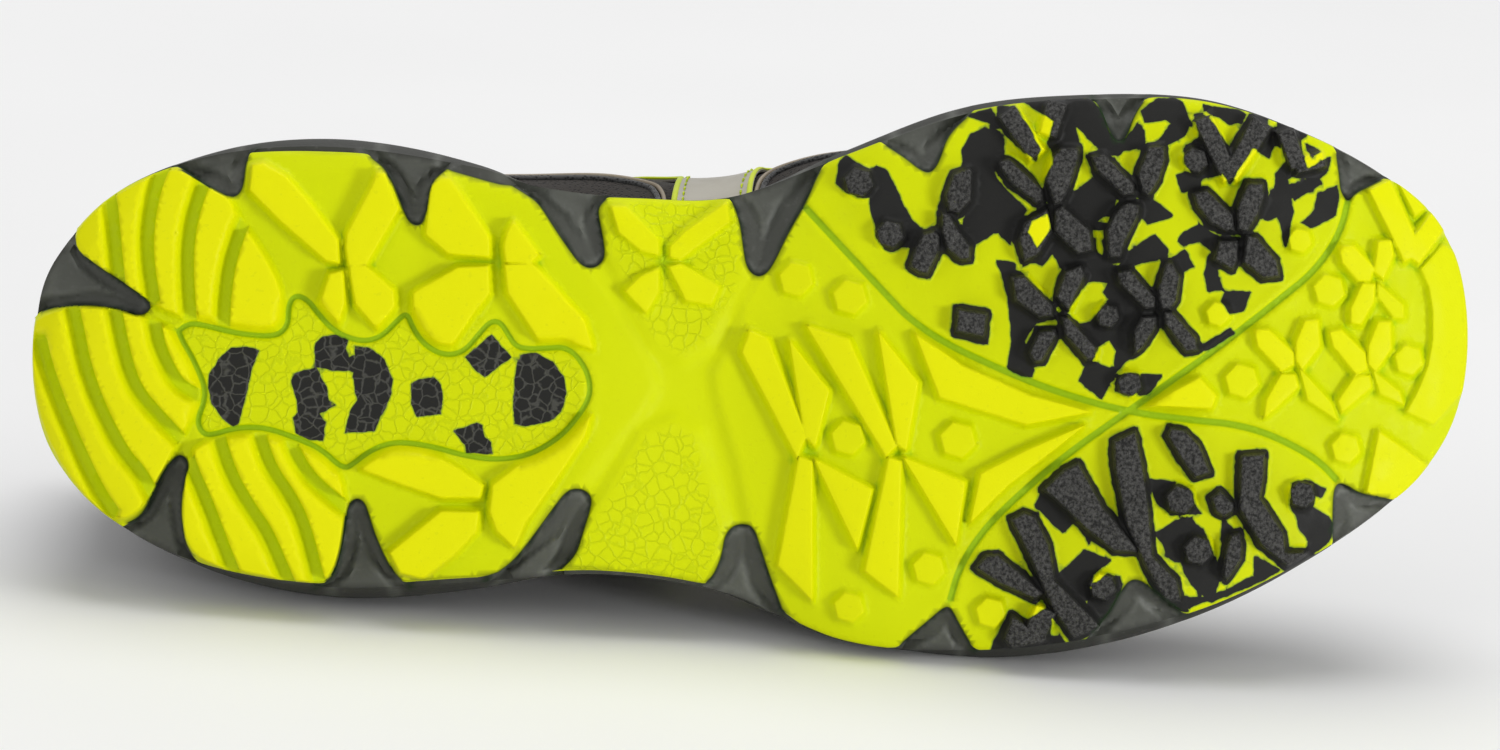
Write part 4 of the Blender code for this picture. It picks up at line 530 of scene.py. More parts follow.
# How far the black reaches past its shapes, in metres, and the shapes
BLACKS = ((0.0009, BLACK_LUGS), (0.0003, BLACK_FLATS), (0.0001, HEEL_BLACKS))

# The waist's fields with a cell-like skin
CELL_AREAS = (
    ((602, 199), (606, 226), (611, 251), (634, 306), (655, 345), (682, 358), (705, 345), (722, 316),
        (737, 292), (743, 275), (740, 200)),
    ((558, 574), (580, 538), (602, 504), (624, 466), (643, 433), (673, 422), (696, 433), (708, 478),
        (723, 527), (716, 560), (700, 600), (560, 600)),
)

# Insets and swells along the shoe
RUBBER_INSETS = {
    # stations, then how far the rubber's edge lies inside the sole's outline, in millimetres
    "inner": (
        (0.0, 0.12, 0.20, 0.27, 0.292, 0.306, 0.328, 0.36, 0.403, 0.433, 0.47, 0.51, 0.60, 1.0),
        (0.4, 0.5, 1.0, 1.2, 1.9, 2.4, 2.9, 2.0, 1.0, 0.2, 0.1, 0.3, 0.4, 0.3),
    ),
    "outer": ((0.0, 0.12, 0.2, 0.45, 0.6, 1.0), (0.4, 0.5, 1.0, 1.0, 0.4, 0.3)),
}
FOAM_INSETS = {
    # stations, then how far the foam's low edge lies inside the sole's outline, in millimetres
    "inner": (
        (0.0, 0.29, 0.32, 0.35, 0.372, 0.394, 0.42, 0.44, 0.48, 0.52, 1.0),
        (0.3, 0.3, 0.6, 1.6, 1.2, 0.8, 0.3, 0.05, 0.05, 0.3, 0.3),
    ),
    "outer": ((0.0, 1.0), (0.3, 0.3)),
}
BULGE_SHARES = {
    # stations, then the share of the midsole side's bulge
    "inner": (
        (0.0, 0.10, 0.15, 0.28, 0.34, 0.50, 0.56, 0.80, 0.93, 1.0),
        (0.3, 0.35, 1.0, 1.0, 0.1, 0.1, 0.7, 0.7, 0.3, 0.3),
    ),
    "outer": (
        (0.0, 0.10, 0.14, 0.32, 0.36, 0.47, 0.50, 0.53, 0.60, 0.63, 0.85, 0.93, 1.0),
        (0.3, 0.5, 1.0, 1.0, 0.15, 0.15, 0.5, 0.2, 0.2, 0.8, 0.8, 0.3, 0.3),
    ),
}
ARCH_SWELLS = (
    # stations, then how far the upper's inner side swells there, in metres
    (0.0, 0.27, 0.33, 0.387, 0.433, 0.48, 0.525, 0.565, 0.62, 1.0),
    (0.0, 0.0, 0.0052, 0.0108, 0.0102, 0.0112, 0.0108, 0.0080, 0.0, 0.0),
)

# The part's two tread mounts on the upright shoe
HEEL_MOUNT = (0.04717, -0.01683)
FOREFOOT_MOUNT = (0.21604, 0.02341)

# Meshing: steps between points, counts, and how close doubled points lie
SOLE_TURNS = 121
OUTLINE_TURNS = 420
OUTLINE_STEP = 0.0011
TREAD_STEP = 0.0013
NOTCH_STEP = 0.0012
LINE_STEP = 0.0016
GROOVE_STEP = 0.0020
ROW_SHARE = 0.866
BED_STEP = 0.0060
INSOLE_STEP = 0.0040
BED_TURNS = 90
BED_EDGE_TURNS = 60
BAND_STEP = 0.008
FOAM_NOTCH_STEP = 0.0009
FOAM_COLUMNS = 300
FOAM_ROWS = 26
UPPER_COLUMNS = 190
UPPER_ROWS = 44
FILM_ROWS = 22
LACE_RINGS = 44
TONGUE_ACROSS = 29
TONGUE_ALONG = 100
SHARP_ANGLE = 48
SAME_POINT = 2e-6
SAME_RIM_POINT = 1e-7
SAME_CORNER = 1e-5

# How far off a distance still counts, from near to far
NEAR_REACH = 0.002
CELL_REACH = 0.003
LINE_REACH = 0.004
GROOVE_REACH = 0.005
FIELD_REACH = 0.01
EDGE_REACH = 0.02

# The tread's relief
BLACK_SHOULDER = 0.0005
SHOULDER = 0.00025
# NOTCH_LINE is the width of the painted shadow line along the rubber's edge in the notches, with a mesh loop
# at it.
NOTCH_LINE = 0.00032
DRAFT = 0.0013
BLACK_DRAFT = 0.0017
# CROWD_REACH, CROWD_WIDTH and CROWD_SHADE set the painted shade in the gaps between crowded lugs.
CROWD_REACH = 0.0034
CROWD_WIDTH = 0.0016
CROWD_SHADE = 0.27
DOME_WIDTH = 0.0006
DOME_DROP = 0.03
GROOVE_WIDTH = 14 * PLAN_UNIT
GROOVE_SHARE = 0.15
GROOVE_STEEP = (0.90, 0.30)
GROOVE_GENTLE = (0.45, 1.45)
GROOVE_BESIDE = (-0.61, -0.45, 0.0, 0.3, 0.6, 0.95)
LINE_BESIDE = (-0.62, -0.38, 0.38, 0.62)
VALLEY_DEPTH = 0.0013
VALLEY_SLOPE = 0.0026
LINE_SLOPE = 0.0016
LINE_DEPTH = 0.0005
LINE_LIP = 0.0003
LINE_LIP_WIDTH = 0.0005
TOE_LINE_DEPTH = 0.0002
TOE_LINE_WIDTH = 0.0003
LIP_WIDTH = 0.0006
LIP_RISE = 0.0005
FIELD_FADE = 0.0010
NOTCH_FADE = 0.0004

# The foam behind the notches, its side grooves and its footbed
NOTCH_MARGIN = 0.15
NOTCH_RISE = 0.0036
FACET_START = 0.30
FACET_WIDTH = 0.62
SOLE_GAP = 0.0006
BAND_WIDTH = 0.0052
CUP_WIDTH = 0.0085
BED_EDGE = 0.0190
# GLINT_PLACE and GLINT_WIDTH set a painted highlight near each notch tip, and NOTCH_RIM a painted shadow
# line along the notch's edge.
GLINT_PLACE = 0.0011
GLINT_WIDTH = 0.0005
NOTCH_RIM = 0.00045
NOTCH_THIN = 0.0004
NOTCH_MOUTH = 0.012
FOAM_EDGE = 0.003
FOAM_MARGIN = 0.0008
# LOW_BAND and LOW_FADE set where the foam's faces towards the tread are painted lighter than its sides, as
# painted light.
LOW_BAND = 0.008
LOW_FADE = 0.0006
SIDE_GROOVES = (
    # share of the height, width as a share, depth in metres
    (0.50, 0.018, 0.0007),
    (0.88, 0.012, 0.0004),
)

# The upper's skin, its lining and creases, then the overlays as stations and shares
SKIN_WALL = 0.0013
SEAM_START = 0.97
LINING_END = 0.455
LINING_LOW = 0.36
LINING_TURNS = 90
LINING_GAP = 0.0001
LINING_PUFF = 0.0009
CREASE_DEPTH = 0.0005
CREASES = (
    # station at the top, slant, share of the depth
    (0.735, 0.03, 1.0),
    (0.775, 0.02, 0.7),
    (0.700, 0.03, 0.5),
)
OVERLAY_LOW, OVERLAY_START, OVERLAY_CORNER = 0.03, 0.05, 0.035
TOE_CAP_START, TOE_CAP_LOW, TOE_CAP_RISE = 0.84, 0.20, 0.52
COUNTER_END, COUNTER_LOW, COUNTER_RISE = 0.24, 0.22, 0.40
PANEL_START, PANEL_END, PANEL_SPREAD, PANEL_SLANT = 0.442, 0.499, 0.06, 0.016
PANEL_BEND = 0.38
PANEL_HIGH = 0.68
EYESTAY_LOW, EYESTAY_END = 0.72, 0.725
FILM_LIFT, FILM_TOP = 0.0004, 0.0013
PANEL_LIFT, PANEL_THICKNESS = 0.0005, 0.0008
STITCH_INSET, STITCH_END = 0.022, 0.014
STITCH_LENGTH, STITCH_GAP, STITCH_RADIUS = 0.0022, 0.0009, 0.00028
STITCH_SHAPE = (
    # share of the length, share of the radius, rise as a share of the radius
    (0.0, 0.55, -0.3),
    (0.5, 1.0, 0.35),
    (1.0, 0.55, -0.3),
)

# Frames of the mesh windows beside the side panel, as stations and shares
WINDOW_BACK = (
    *((0.4365, 0.02), (0.4355, 0.10), (0.431, 0.17), (0.425, 0.225), (0.400, 0.25), (0.36, 0.265)),
    *((0.32, 0.27), (0.285, 0.25), (0.262, 0.19), (0.255, 0.10), (0.255, 0.02)),
)
WINDOW_FRONT = (
    *((0.503, 0.02), (0.507, 0.10), (0.513, 0.18), (0.524, 0.235), (0.545, 0.27), (0.585, 0.285)),
    *((0.63, 0.28), (0.665, 0.24), (0.682, 0.15), (0.688, 0.02)),
)

# Width, thickness and lift of the trims round the windows and along the panel
FRAME_SIZE = (0.0010, 0.0012, 0.0005)
CORD_SIZE = (0.0012, 0.0012, 0.0004)
EDGING_SIZE = (0.0013, 0.0009, FILM_TOP - 0.0001)

# The lacing and the tongue
LACE_LIFT = 0.0032
LACE_OVERSHOOT = 0.035
LACE_BOW = 0.0010
LACE_DIVE = 0.0034
EYELET_RADIUS = 0.0024
EYELET_TUBE = 0.0008
WING_CLEARANCE = 0.0007
VAMP_CLEARANCE = 0.0012
TONGUE_PUFF = 0.0012
INSOLE_CUP = 0.0015

# The lights and the camera
LIGHTS = (
    # name, place, target, the disc's size, power in watts
    ("key", (1.35, -1.30, 0.15), (0, 0, 0.05), 0.45, 17),
    ("fill", (-1.1, -1.7, 0.9), (0, 0, 0.05), 1.2, 5),
    ("top", (0.1, 0.5, 2.2), (0, 0.2, 0.0), 2.0, 26),
)
WORLD_STRENGTH = 0.50
FLOOR_HALF = 6.0
CAMERA_DISTANCE = 1.5
SENSOR = 36.0
VIEW_WIDTH = 1500 * PLAN_UNIT
VIEW_CENTRE = ((750 - PLAN_HEEL) * PLAN_UNIT, 0.0, 0.0)


def curve_through(keys, values):
    """Smooth curve through the values, as a function of the key."""
    keys = np.asarray(keys, float)
    values = np.asarray(values, float)
    slopes = np.gradient(values, keys)

    def at(key):
        key = np.clip(key, keys[0], keys[-1])
        index = np.clip(np.searchsorted(keys, key, side="right") - 1, 0, len(keys) - 2)
        span = keys[index + 1] - keys[index]
        share = (key - keys[index]) / span
        rest = 1 - share
        return (
            values[index] * (1 + 2 * share) * rest**2
            + slopes[index] * span * share * rest**2
            + values[index + 1] * (3 - 2 * share) * share**2
            - slopes[index + 1] * span * share**2 * rest
        )

    return at


def unit(vectors):
    """The vectors along the last axis, each of length one."""
    return vectors / np.maximum(np.linalg.norm(vectors, axis=-1), 1e-12)[..., None]


def ring_of(turns):
    """The turns all round the shoe, by side."""
    return [("inner", turns), ("outer", turns[-2:0:-1])]


def column(table, index):
    return [row[index] for row in table]


def turn_of(station):
    return np.arccos(1 - 2 * np.clip(station, 0, 1))


def station_of(turn):
    return (1 - np.cos(turn)) / 2


def soft_step(value):
    value = np.clip(value, 0, 1)
    return value * value * (3 - 2 * value)


def outline_curve(index):
    shares = [row[index] * WIDTHS[row[1]] for row in SOLE_SECTIONS]
    return curve_through(turn_of(column(SOLE_SECTIONS, 0)), shares)


SOLE = {"inner": outline_curve(2), "outer": outline_curve(3)}
RIM = {"inner": outline_curve(4), "outer": outline_curve(5)}
RIM_ABOVE = curve_through(
    column(RIM_HEIGHTS, 0), [share * STACK[stack] for _, stack, share in RIM_HEIGHTS]
)


def side_curves(table, per_metre=1):
    """A curve for each side from its stations and values."""
    return {side: curve_through(keys, np.array(found) / per_metre) for side, (keys, found) in table.items()}


RUBBER_INSET = side_curves(RUBBER_INSETS, 1000)
FOAM_INSET = side_curves(FOAM_INSETS, 1000)
BULGE_SHARE = side_curves(BULGE_SHARES)
ARCH_SWELL = curve_through(*ARCH_SWELLS)
UPPER_TURNS = turn_of(column(UPPER_SECTIONS, 0))
TOP_STATION = curve_through(UPPER_TURNS, column(UPPER_SECTIONS, 1))
TOP_HALF = curve_through(UPPER_TURNS, [row[2] * COLLAR_WIDTH for row in UPPER_SECTIONS])
TOP_CENTRE = curve_through(UPPER_TURNS, [row[3] * BALL_WIDTH for row in UPPER_SECTIONS])
TOP_LEVEL = curve_through(UPPER_TURNS, [row[5] * TOP_HEIGHT[row[4]] for row in UPPER_SECTIONS])
TOP_LEAN = curve_through(UPPER_TURNS, column(UPPER_SECTIONS, 6))


def ground(station):
    """Height of the tread's contact line at a station."""
    station = np.clip(station, 0, 1)
    heel = HEEL_BEVEL * np.clip((BEVEL_END - station) / BEVEL_END, 0, 1) ** 2
    arch_share = np.clip((station - ARCH_SPAN[0]) / (ARCH_SPAN[1] - ARCH_SPAN[0]), 0, 1)
    arch = ARCH_LIFT * np.sin(math.pi * arch_share) ** 2
    spring_share = np.clip((station - SPRING_START) / (1 - SPRING_START), 0, 1)
    return heel + arch + TOE_SPRING * spring_share**SPRING_POWER


def outward_of(curve, turns, side):
    """Level directions out of an outline at the turns."""
    step = 0.01
    low = np.clip(turns - step, 0, math.pi)
    high = np.clip(turns + step, 0, math.pi)
    tangent = unit(
        np.stack([LENGTH * (station_of(high) - station_of(low)), curve(high) - curve(low)], -1)
    )
    outward = np.stack([tangent[..., 1], -tangent[..., 0]], -1) * -SIGN[side]
    ends = np.stack([np.where(turns < 1, -1.0, 1.0), np.zeros_like(turns)], -1)
    at_end = (turns < step) | (turns > math.pi - step)
    return np.where(at_end[..., None], ends, outward)


def edge_line(side, turns, inset):
    """Points of the sole's outline at the turns, moved inwards."""
    points = np.stack([LENGTH * station_of(turns), SOLE[side](turns)], -1)
    return points - outward_of(SOLE[side], turns, side) * np.reshape(inset, (-1, 1))


def plan(points):
    """Points of the tread plan on the shoe."""
    points = np.asarray(points, float)
    return (points - np.array([PLAN_HEEL, PLAN_AXIS])) * PLAN_UNIT


def signed_area(loop):
    after = np.roll(loop, -1, axis=0)
    return np.sum(loop[:, 0] * after[:, 1] - after[:, 0] * loop[:, 1]) / 2


def anticlockwise(loop):
    loop = np.asarray(loop, float)
    return loop if signed_area(loop) > 0 else loop[::-1]


def resampled(line, step, closed=True):
    """The line with points added so that none of its stretches is longer than the step."""
    found = []
    ends = np.roll(line, -1, axis=0) if closed else line[1:]
    for start, end in zip(line, ends):
        count = max(1, int(math.ceil(np.linalg.norm(end - start) / step)))
        found += [start + (end - start) * i / count for i in range(count)]
    if not closed:
        found.append(line[-1])
    return np.array(found)


def rounded(line, closed=True, times=2):
    """The line with its corners cut."""
    for _ in range(times):
        after = np.roll(line, -1, axis=0) if closed else line[1:]
        before = line if closed else line[:-1]
        cut = np.stack([before * 0.75 + after * 0.25, before * 0.25 + after * 0.75], 1)
        cut = cut.reshape(-1, 2)
        line = cut if closed else np.concatenate([line[:1], cut, line[-1:]])
    return line


def offset_loop(loop, distance):
    """The anticlockwise loop moved outwards by a distance, its corners mitred."""
    before = unit(loop - np.roll(loop, 1, axis=0))
    after = unit(np.roll(loop, -1, axis=0) - loop)
    first = np.stack([before[:, 1], -before[:, 0]], axis=1)
    second = np.stack([after[:, 1], -after[:, 0]], axis=1)
    mitre = first + second
    lengths = np.maximum(np.sum(mitre * second, axis=1), 0.5)
    return loop + mitre / lengths[:, None] * distance


def signed_distance(points, line, reach, closed=True):
    """Distance from the line, negative inside a closed one, and reach further off."""
    found = np.full(len(points), reach)
    low, high = line.min(axis=0) - reach, line.max(axis=0) + reach
    near = np.flatnonzero(np.all((points > low) & (points < high), axis=1))
    starts = line if closed else line[:-1]
    ends = np.roll(line, -1, axis=0) if closed else line[1:]
    edges = ends - starts
    squares = np.maximum((edges**2).sum(axis=1), 1e-18)
    rises = np.where(np.abs(edges[:, 1]) < 1e-12, 1e-12, edges[:, 1])
    for part in np.array_split(near, max(1, len(near) * len(line) // 2000000 + 1)):
        away = points[part][:, None, :] - starts[None]
        share = np.clip((away * edges).sum(axis=2) / squares, 0, 1)
        gap = away - share[..., None] * edges
        distance = np.sqrt((gap**2).sum(axis=2)).min(axis=1)
        if closed:
            y = points[part][:, None, 1]
            crosses = (starts[:, 1] > y) != (ends[:, 1] > y)
            meets = starts[:, 0] + (y - starts[:, 1]) * edges[:, 0] / rises
            inside = (crosses & (points[part][:, None, 0] < meets)).sum(axis=1) % 2 == 1
            distance = np.where(inside, -distance, distance)
        found[part] = np.minimum(distance, reach)
    return found


def field_distance(points, corners, reach):
    """Distance from a field of the plan, negative inside it."""
    return signed_distance(points, anticlockwise(plan(corners)), reach)


def line_distance(points, corners, reach):
    """Distance from a rounded line of the plan."""
    return signed_distance(points, rounded(plan(corners), closed=False), reach, closed=False)


def inside_loop(points, loop):
    return signed_distance(points, loop, 1e-4) < 0


def triangulated(boundary, loops, chains, points):
    """Triangles inside the boundary that keep the edges of every loop and chain."""
    coords, edges = [], []
    for closed, lines in ((True, [boundary, *loops]), (False, chains)):
        for line in lines:
            first, count = len(coords), len(line)
            coords += [Vector(point) for point in line]
            steps = count if closed else count - 1
            edges += [(first + i, first + (i + 1) % count) for i in range(steps)]
    coords += [Vector(point) for point in points]
    found, _, faces, _, _, _ = delaunay_2d_cdt(coords, edges, [], 0, 1e-6)
    flat = np.array([list(point) for point in found])
    faces = np.array([tuple(face) for face in faces])
    kept = inside_loop(flat[faces].mean(axis=1), boundary)
    return flat, faces[kept]


def boundary_edges(faces):
    faces = np.asarray(faces)
    directed = {(int(f[i]), int(f[(i + 1) % len(f)])) for f in faces for i in range(len(f))}
    return [(a, b) for a, b in directed if (b, a) not in directed]


def loop_from(edges):
    following = dict(edges)
    start = edges[0][0]
    loop = [start]
    while following[loop[-1]] != start:
        loop.append(following[loop[-1]])
    return loop


def sole_place():
    """Matrix from the shoe's upright frame to the row frame, from the part's two mounts."""
    mounts = {mount["name"]: mount for mount in frame["record"]["mounts"]}
    heel, fore = (Vector(mounts[name]["pos_m"]) for name in ("heel_tread", "forefoot_tread"))
    heel_flat, fore_flat = Vector(HEEL_MOUNT), Vector(FOREFOOT_MOUNT)
    up = -Vector(mounts["heel_tread"]["axis"]).normalized()
    run = (fore - heel) - up * (fore - heel).dot(up)
    run.normalize()
    across = up.cross(run)
    flat = (fore_flat - heel_flat).normalized()
    x_axis = run * flat.x - across * flat.y
    y_axis = run * flat.y + across * flat.x
    turn = Matrix((x_axis, y_axis, up)).transposed()
    shift = heel - turn @ Vector((heel_flat.x, heel_flat.y, 0))
    return Matrix.Translation(shift) @ turn.to_4x4()


PLACE = sole_place()
TURN = np.array(PLACE.to_3x3())
SHIFT = np.array(PLACE.translation)


def to_row(points):
    return np.asarray(points, float).reshape(-1, 3) @ TURN.T + SHIFT


def add_piece(name, points, faces, finish, node=None):
    """Visual piece of the shoe from upright points, riding on the shoe's one body."""
    mesh = bpy.data.meshes.new(name)
    mesh.from_pydata(to_row(points).tolist(), [], [tuple(map(int, face)) for face in faces])
    mesh.materials.append(finish)
    mesh.validate()
    mesh.update()
    mesh.shade_smooth()
    made = bpy.data.objects.new(name, mesh)
    bpy.context.scene.collection.objects.link(made)
    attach(made, "root")
    if node:
        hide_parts(node)
    return made


def turned_out(thing, merge=None, sharp=None):
    """Makes the faces of a closed mesh face outwards, its doubled points merged."""
    built = bmesh.new()
    built.from_mesh(thing.data)
    if merge:
        bmesh.ops.remove_doubles(built, verts=built.verts, dist=merge)
    bmesh.ops.recalc_face_normals(built, faces=built.faces)
    built.to_mesh(thing.data)
    built.free()
    thing.data.update()
    if sharp:
        thing.data.shade_smooth()
        thing.data.set_sharp_from_angle(angle=math.radians(sharp))
    return thing


def store(thing, **values):
    """Keeps a value per vertex, for the materials."""
    for name, numbers in values.items():
        made = thing.data.attributes.new(name, "FLOAT", "POINT")
        made.data.foreach_set("value", np.asarray(numbers, np.float32))


class Finish:
    """A material and short ways to join its nodes."""

    def __init__(self, name, roughness, **sockets):
        self.material = bpy.data.materials.new(name)
        self.material.use_nodes = True
        self.tree = self.material.node_tree
        self.shader = self.tree.nodes["Principled BSDF"]
        self.shader.inputs["Roughness"].default_value = roughness
        for socket, value in sockets.items():
            self.shader.inputs[socket.replace("_", " ")].default_value = value

    def join(self, socket, value):
        if isinstance(value, bpy.types.NodeSocket):
            self.tree.links.new(value, socket)
        elif isinstance(value, tuple) and len(value) == 3 and socket.type == "RGBA":
            socket.default_value = (*value, 1)
        else:
            socket.default_value = value

    def node(self, kind, inputs=None, **settings):
        made = self.tree.nodes.new(kind)
        for key, value in settings.items():
            setattr(made, key, value)
        for key, value in (inputs or {}).items():
            self.join(made.inputs[key], value)
        return made

    def value(self, name):
        return self.node("ShaderNodeAttribute", attribute_name=name).outputs["Fac"]

    def place(self):
        return self.node("ShaderNodeTexCoord").outputs["Object"]

    def noise(self, scale, detail, roughness=0.5):
        inputs = {"Scale": scale, "Detail": detail, "Roughness": roughness, "Vector": self.place()}
        return self.node("ShaderNodeTexNoise", inputs).outputs["Fac"]

    def warped(self, scale, amount):
        """The place on the piece, shifted about by a noise."""
        noise = self.node("ShaderNodeTexNoise", {"Scale": scale, "Vector": self.place()})
        inputs = {0: noise.outputs["Color"], 1: (amount, amount, amount)}
        shift = self.node("ShaderNodeVectorMath", inputs, operation="MULTIPLY").outputs[0]
        inputs = {0: self.place(), 1: shift}
        return self.node("ShaderNodeVectorMath", inputs, operation="ADD").outputs[0]

    def cells(self, scale, feature="F1", vector=None):
        inputs = {"Scale": scale, "Vector": vector or self.place()}
        return self.node("ShaderNodeTexVoronoi", inputs, feature=feature).outputs["Distance"]

    def math(self, operation, first, second):
        return self.node("ShaderNodeMath", {0: first, 1: second}, operation=operation).outputs[0]

    def times(self, first, *others):
        for other in others:
            first = self.math("MULTIPLY", first, other)
        return first

    def rest(self, share):
        return self.math("SUBTRACT", 1.0, share)

    def span(self, value, low, high, start=0.0, end=1.0):
        """The value taken smoothly from one span to another."""
        inputs = {"Value": value, "From Min": low, "From Max": high, "To Min": start, "To Max": end}
        made = self.node("ShaderNodeMapRange", inputs, interpolation_type="SMOOTHSTEP")
        return made.outputs["Result"]

    def mix(self, share, first, second):
        made = self.node("ShaderNodeMix", data_type="RGBA")
        self.join(made.inputs[0], share)
        self.join(made.inputs[6], first)
        self.join(made.inputs[7], second)
        return made.outputs[2]

    def ramp(self, value, stops):
        made = self.node("ShaderNodeValToRGB", {"Fac": value})
        while len(made.color_ramp.elements) < len(stops):
            made.color_ramp.elements.new(0.5)
        for element, (position, colour) in zip(made.color_ramp.elements, stops):
            element.position = position
            element.color = (*colour, 1)
        return made.outputs["Color"]

    def bump(self, height, distance, strength, normal=None):
        inputs = {"Height": height, "Distance": distance, "Strength": strength}
        if normal:
            inputs["Normal"] = normal
        return self.node("ShaderNodeBump", inputs).outputs["Normal"]

    def finish(self, colour, normal=None, roughness=None):
        self.join(self.shader.inputs["Base Color"], colour)
        if normal:
            self.join(self.shader.inputs["Normal"], normal)
        if roughness:
            self.join(self.shader.inputs["Roughness"], roughness)
        return self.material


def rubber_finish():
    """Satin rubber: yellow on the lugs, lime between them, black where it was splashed, with painted shade
    in the cuts, grooves, parting lines, notch edges and crowded gaps, and painted highlight and shade on the
    cell ridges.
    """
    made = Finish("rubber", 0.5, Specular_IOR_Level=0.10)
    # Painted shade: the tone ramp runs from dark green in the deepest cuts through lime to yellow lug tops;
    # yellow and lime are partly the rubber's own two colours, and the greens darker than lime are painted
    # shade.
    tone = made.ramp(
        made.value("tone"),
        (
            (0.0, (0.25, 0.36, 0.006)),
            (0.22, (0.36, 0.55, 0.002)),
            (0.50, (0.61, 0.69, 0.000)),
            (0.75, (0.70, 0.73, 0.000)),
            (1.0, (0.76, 0.755, 0.000)),
        ),
    )
    cloud = made.noise(28.0, 3.0)
    lime = made.mix(made.span(cloud, 0.35, 0.7, 0.0, 0.20), tone, (0.66, 0.71, 0.0))
    dust = made.span(made.noise(900.0, 1.0), 0.66, 0.74, 0.0, 0.22)
    lime = made.mix(dust, lime, (0.54, 0.58, 0.005))
    # Painted shade: the parting lines are painted dark green, as shade in their cuts.
    lime = made.mix(made.times(made.value("line"), 0.88), lime, (0.265, 0.45, 0.006))
    ragged = made.times(made.math("SUBTRACT", made.noise(430.0, 2.0), 0.5), 0.8)
    edge = made.math("ADD", made.value("black"), ragged)
    black = made.span(edge, -0.10, 0.12)
    rim = made.span(edge, -0.42, -0.05, 0.0, 0.55)
    lime = made.mix(rim, lime, (0.07, 0.22, 0.03))
    grain = made.value("grain")
    speckle = made.noise(1500.0, 2.0, 0.6)
    share = made.times(grain, made.span(speckle, 0.3, 0.7))
    dark = made.mix(share, (0.020, 0.020, 0.019), (0.085, 0.084, 0.080))
    colour = made.mix(black, lime, dark)
    # Painted highlight and shade: the cell ridges are painted lighter on the black as a highlight and darker
    # on the lime as shade, besides their bump.
    cell_edge = made.cells(390.0, "DISTANCE_TO_EDGE", made.warped(500.0, 0.0014))
    ridge = made.times(made.rest(made.span(cell_edge, 0.0, 0.11)), made.value("cell"))
    colour = made.mix(made.times(ridge, black, 0.45), colour, (0.13, 0.13, 0.115))
    colour = made.mix(made.times(ridge, 0.24, made.rest(black)), colour, (0.36, 0.47, 0.002))
    # Painted shadow: a near-black line along the rubber's edge in each notch, where it meets the foam.
    colour = made.mix(made.value("notch"), colour, (0.010, 0.030, 0.006))
    skin = made.bump(made.noise(2600.0, 2.0), 0.00006, 0.5)
    skin = made.bump(ridge, 0.00022, 0.6, skin)
    rough = made.times(made.noise(1050.0, 3.0, 0.62), grain, black)
    skin = made.bump(rough, 0.0012, 1.0, skin)
    gloss = made.span(made.noise(240.0, 3.0), 0.3, 0.7, 0.42, 0.60)
    return made.finish(colour, skin, gloss)


def foam_finish():
    """Moulded dark foam with a closed satin skin, its faces towards the tread painted lighter and its sides
    darker as painted light and shade, with a painted highlight along the notch ridges and tips and a painted
    shadow line at the notch edges.
    """
    made = Finish("foam", 0.55, Specular_IOR_Level=0.40)
    cloud = made.span(made.noise(60.0, 3.0), 0.3, 0.7)
    # Painted light and shade: the same foam is painted darker on its sides and lighter on its faces towards
    # the tread.
    side = made.mix(cloud, (0.028, 0.029, 0.024), (0.041, 0.042, 0.035))
    low = made.mix(cloud, (0.066, 0.069, 0.058), (0.086, 0.090, 0.076))
    colour = made.mix(made.value("low"), side, low)
    dust = made.span(made.noise(520.0, 4.0), 0.60, 0.72, 0.0, 0.30)
    colour = made.mix(dust, colour, (0.12, 0.12, 0.11))
    # Painted highlight along each notch's ridge and near its tip.
    colour = made.mix(made.times(made.value("ridge"), 0.55), colour, (0.20, 0.21, 0.185))
    # Painted shadow: a near-black line along the foam's edge in each notch, where it meets the rubber.
    colour = made.mix(made.value("rim"), colour, (0.008, 0.020, 0.005))
    skin = made.bump(made.noise(1300.0, 3.0), 0.00012, 0.6)
    skin = made.bump(made.cells(700.0), 0.00008, 0.5, skin)
    return made.finish(colour, skin, made.span(cloud, 0.0, 1.0, 0.50, 0.62))


def outline_points():
    """Notched outline of the rubber, anticlockwise."""
    path = []
    for side in SIDES:
        turns = np.linspace(0, math.pi, OUTLINE_TURNS)
        alongs = PLAN_HEEL + PLAN_LENGTH * station_of(turns)
        free = np.ones(len(turns), bool)
        lines = []
        for _, line in (row for row in NOTCHES if row[0] == side):
            points = rounded(plan(line), closed=False)
            ends = sorted((line[0][0], line[-1][0]))
            free &= (alongs < ends[0]) | (alongs > ends[1])
            lines.append((ends, points))
        edge = edge_line(side, turns, RUBBER_INSET[side](station_of(turns)))
        groups = [(along, [point]) for along, point, keep in zip(alongs, edge, free) if keep]
        for ends, points in lines:
            groups.append((sum(ends) / 2, list(clipped(points, side))))
        groups.sort(key=lambda item: item[0])
        points = [point for _, group in groups for point in group]
        path += points if side == "inner" else points[::-1]
    loop = anticlockwise(np.array(path))
    gaps = np.linalg.norm(loop - np.roll(loop, 1, axis=0), axis=1)
    return resampled(rounded(loop[gaps > SAME_CORNER], times=1), OUTLINE_STEP)


def clipped(points, side):
    """The part of a notch's line that lies inside the sole's outline."""
    turns = turn_of(points[:, 0] / LENGTH)
    inset = RUBBER_INSET[side](station_of(turns))
    return points[(SOLE[side](turns) - points[:, 1]) * SIGN[side] > inset * 0.9]


def stud(along, across, radius):
    angles = [math.radians(60 * step + 15) for step in range(6)]
    return [(along + radius * math.cos(a), across + radius * math.sin(a)) for a in angles]


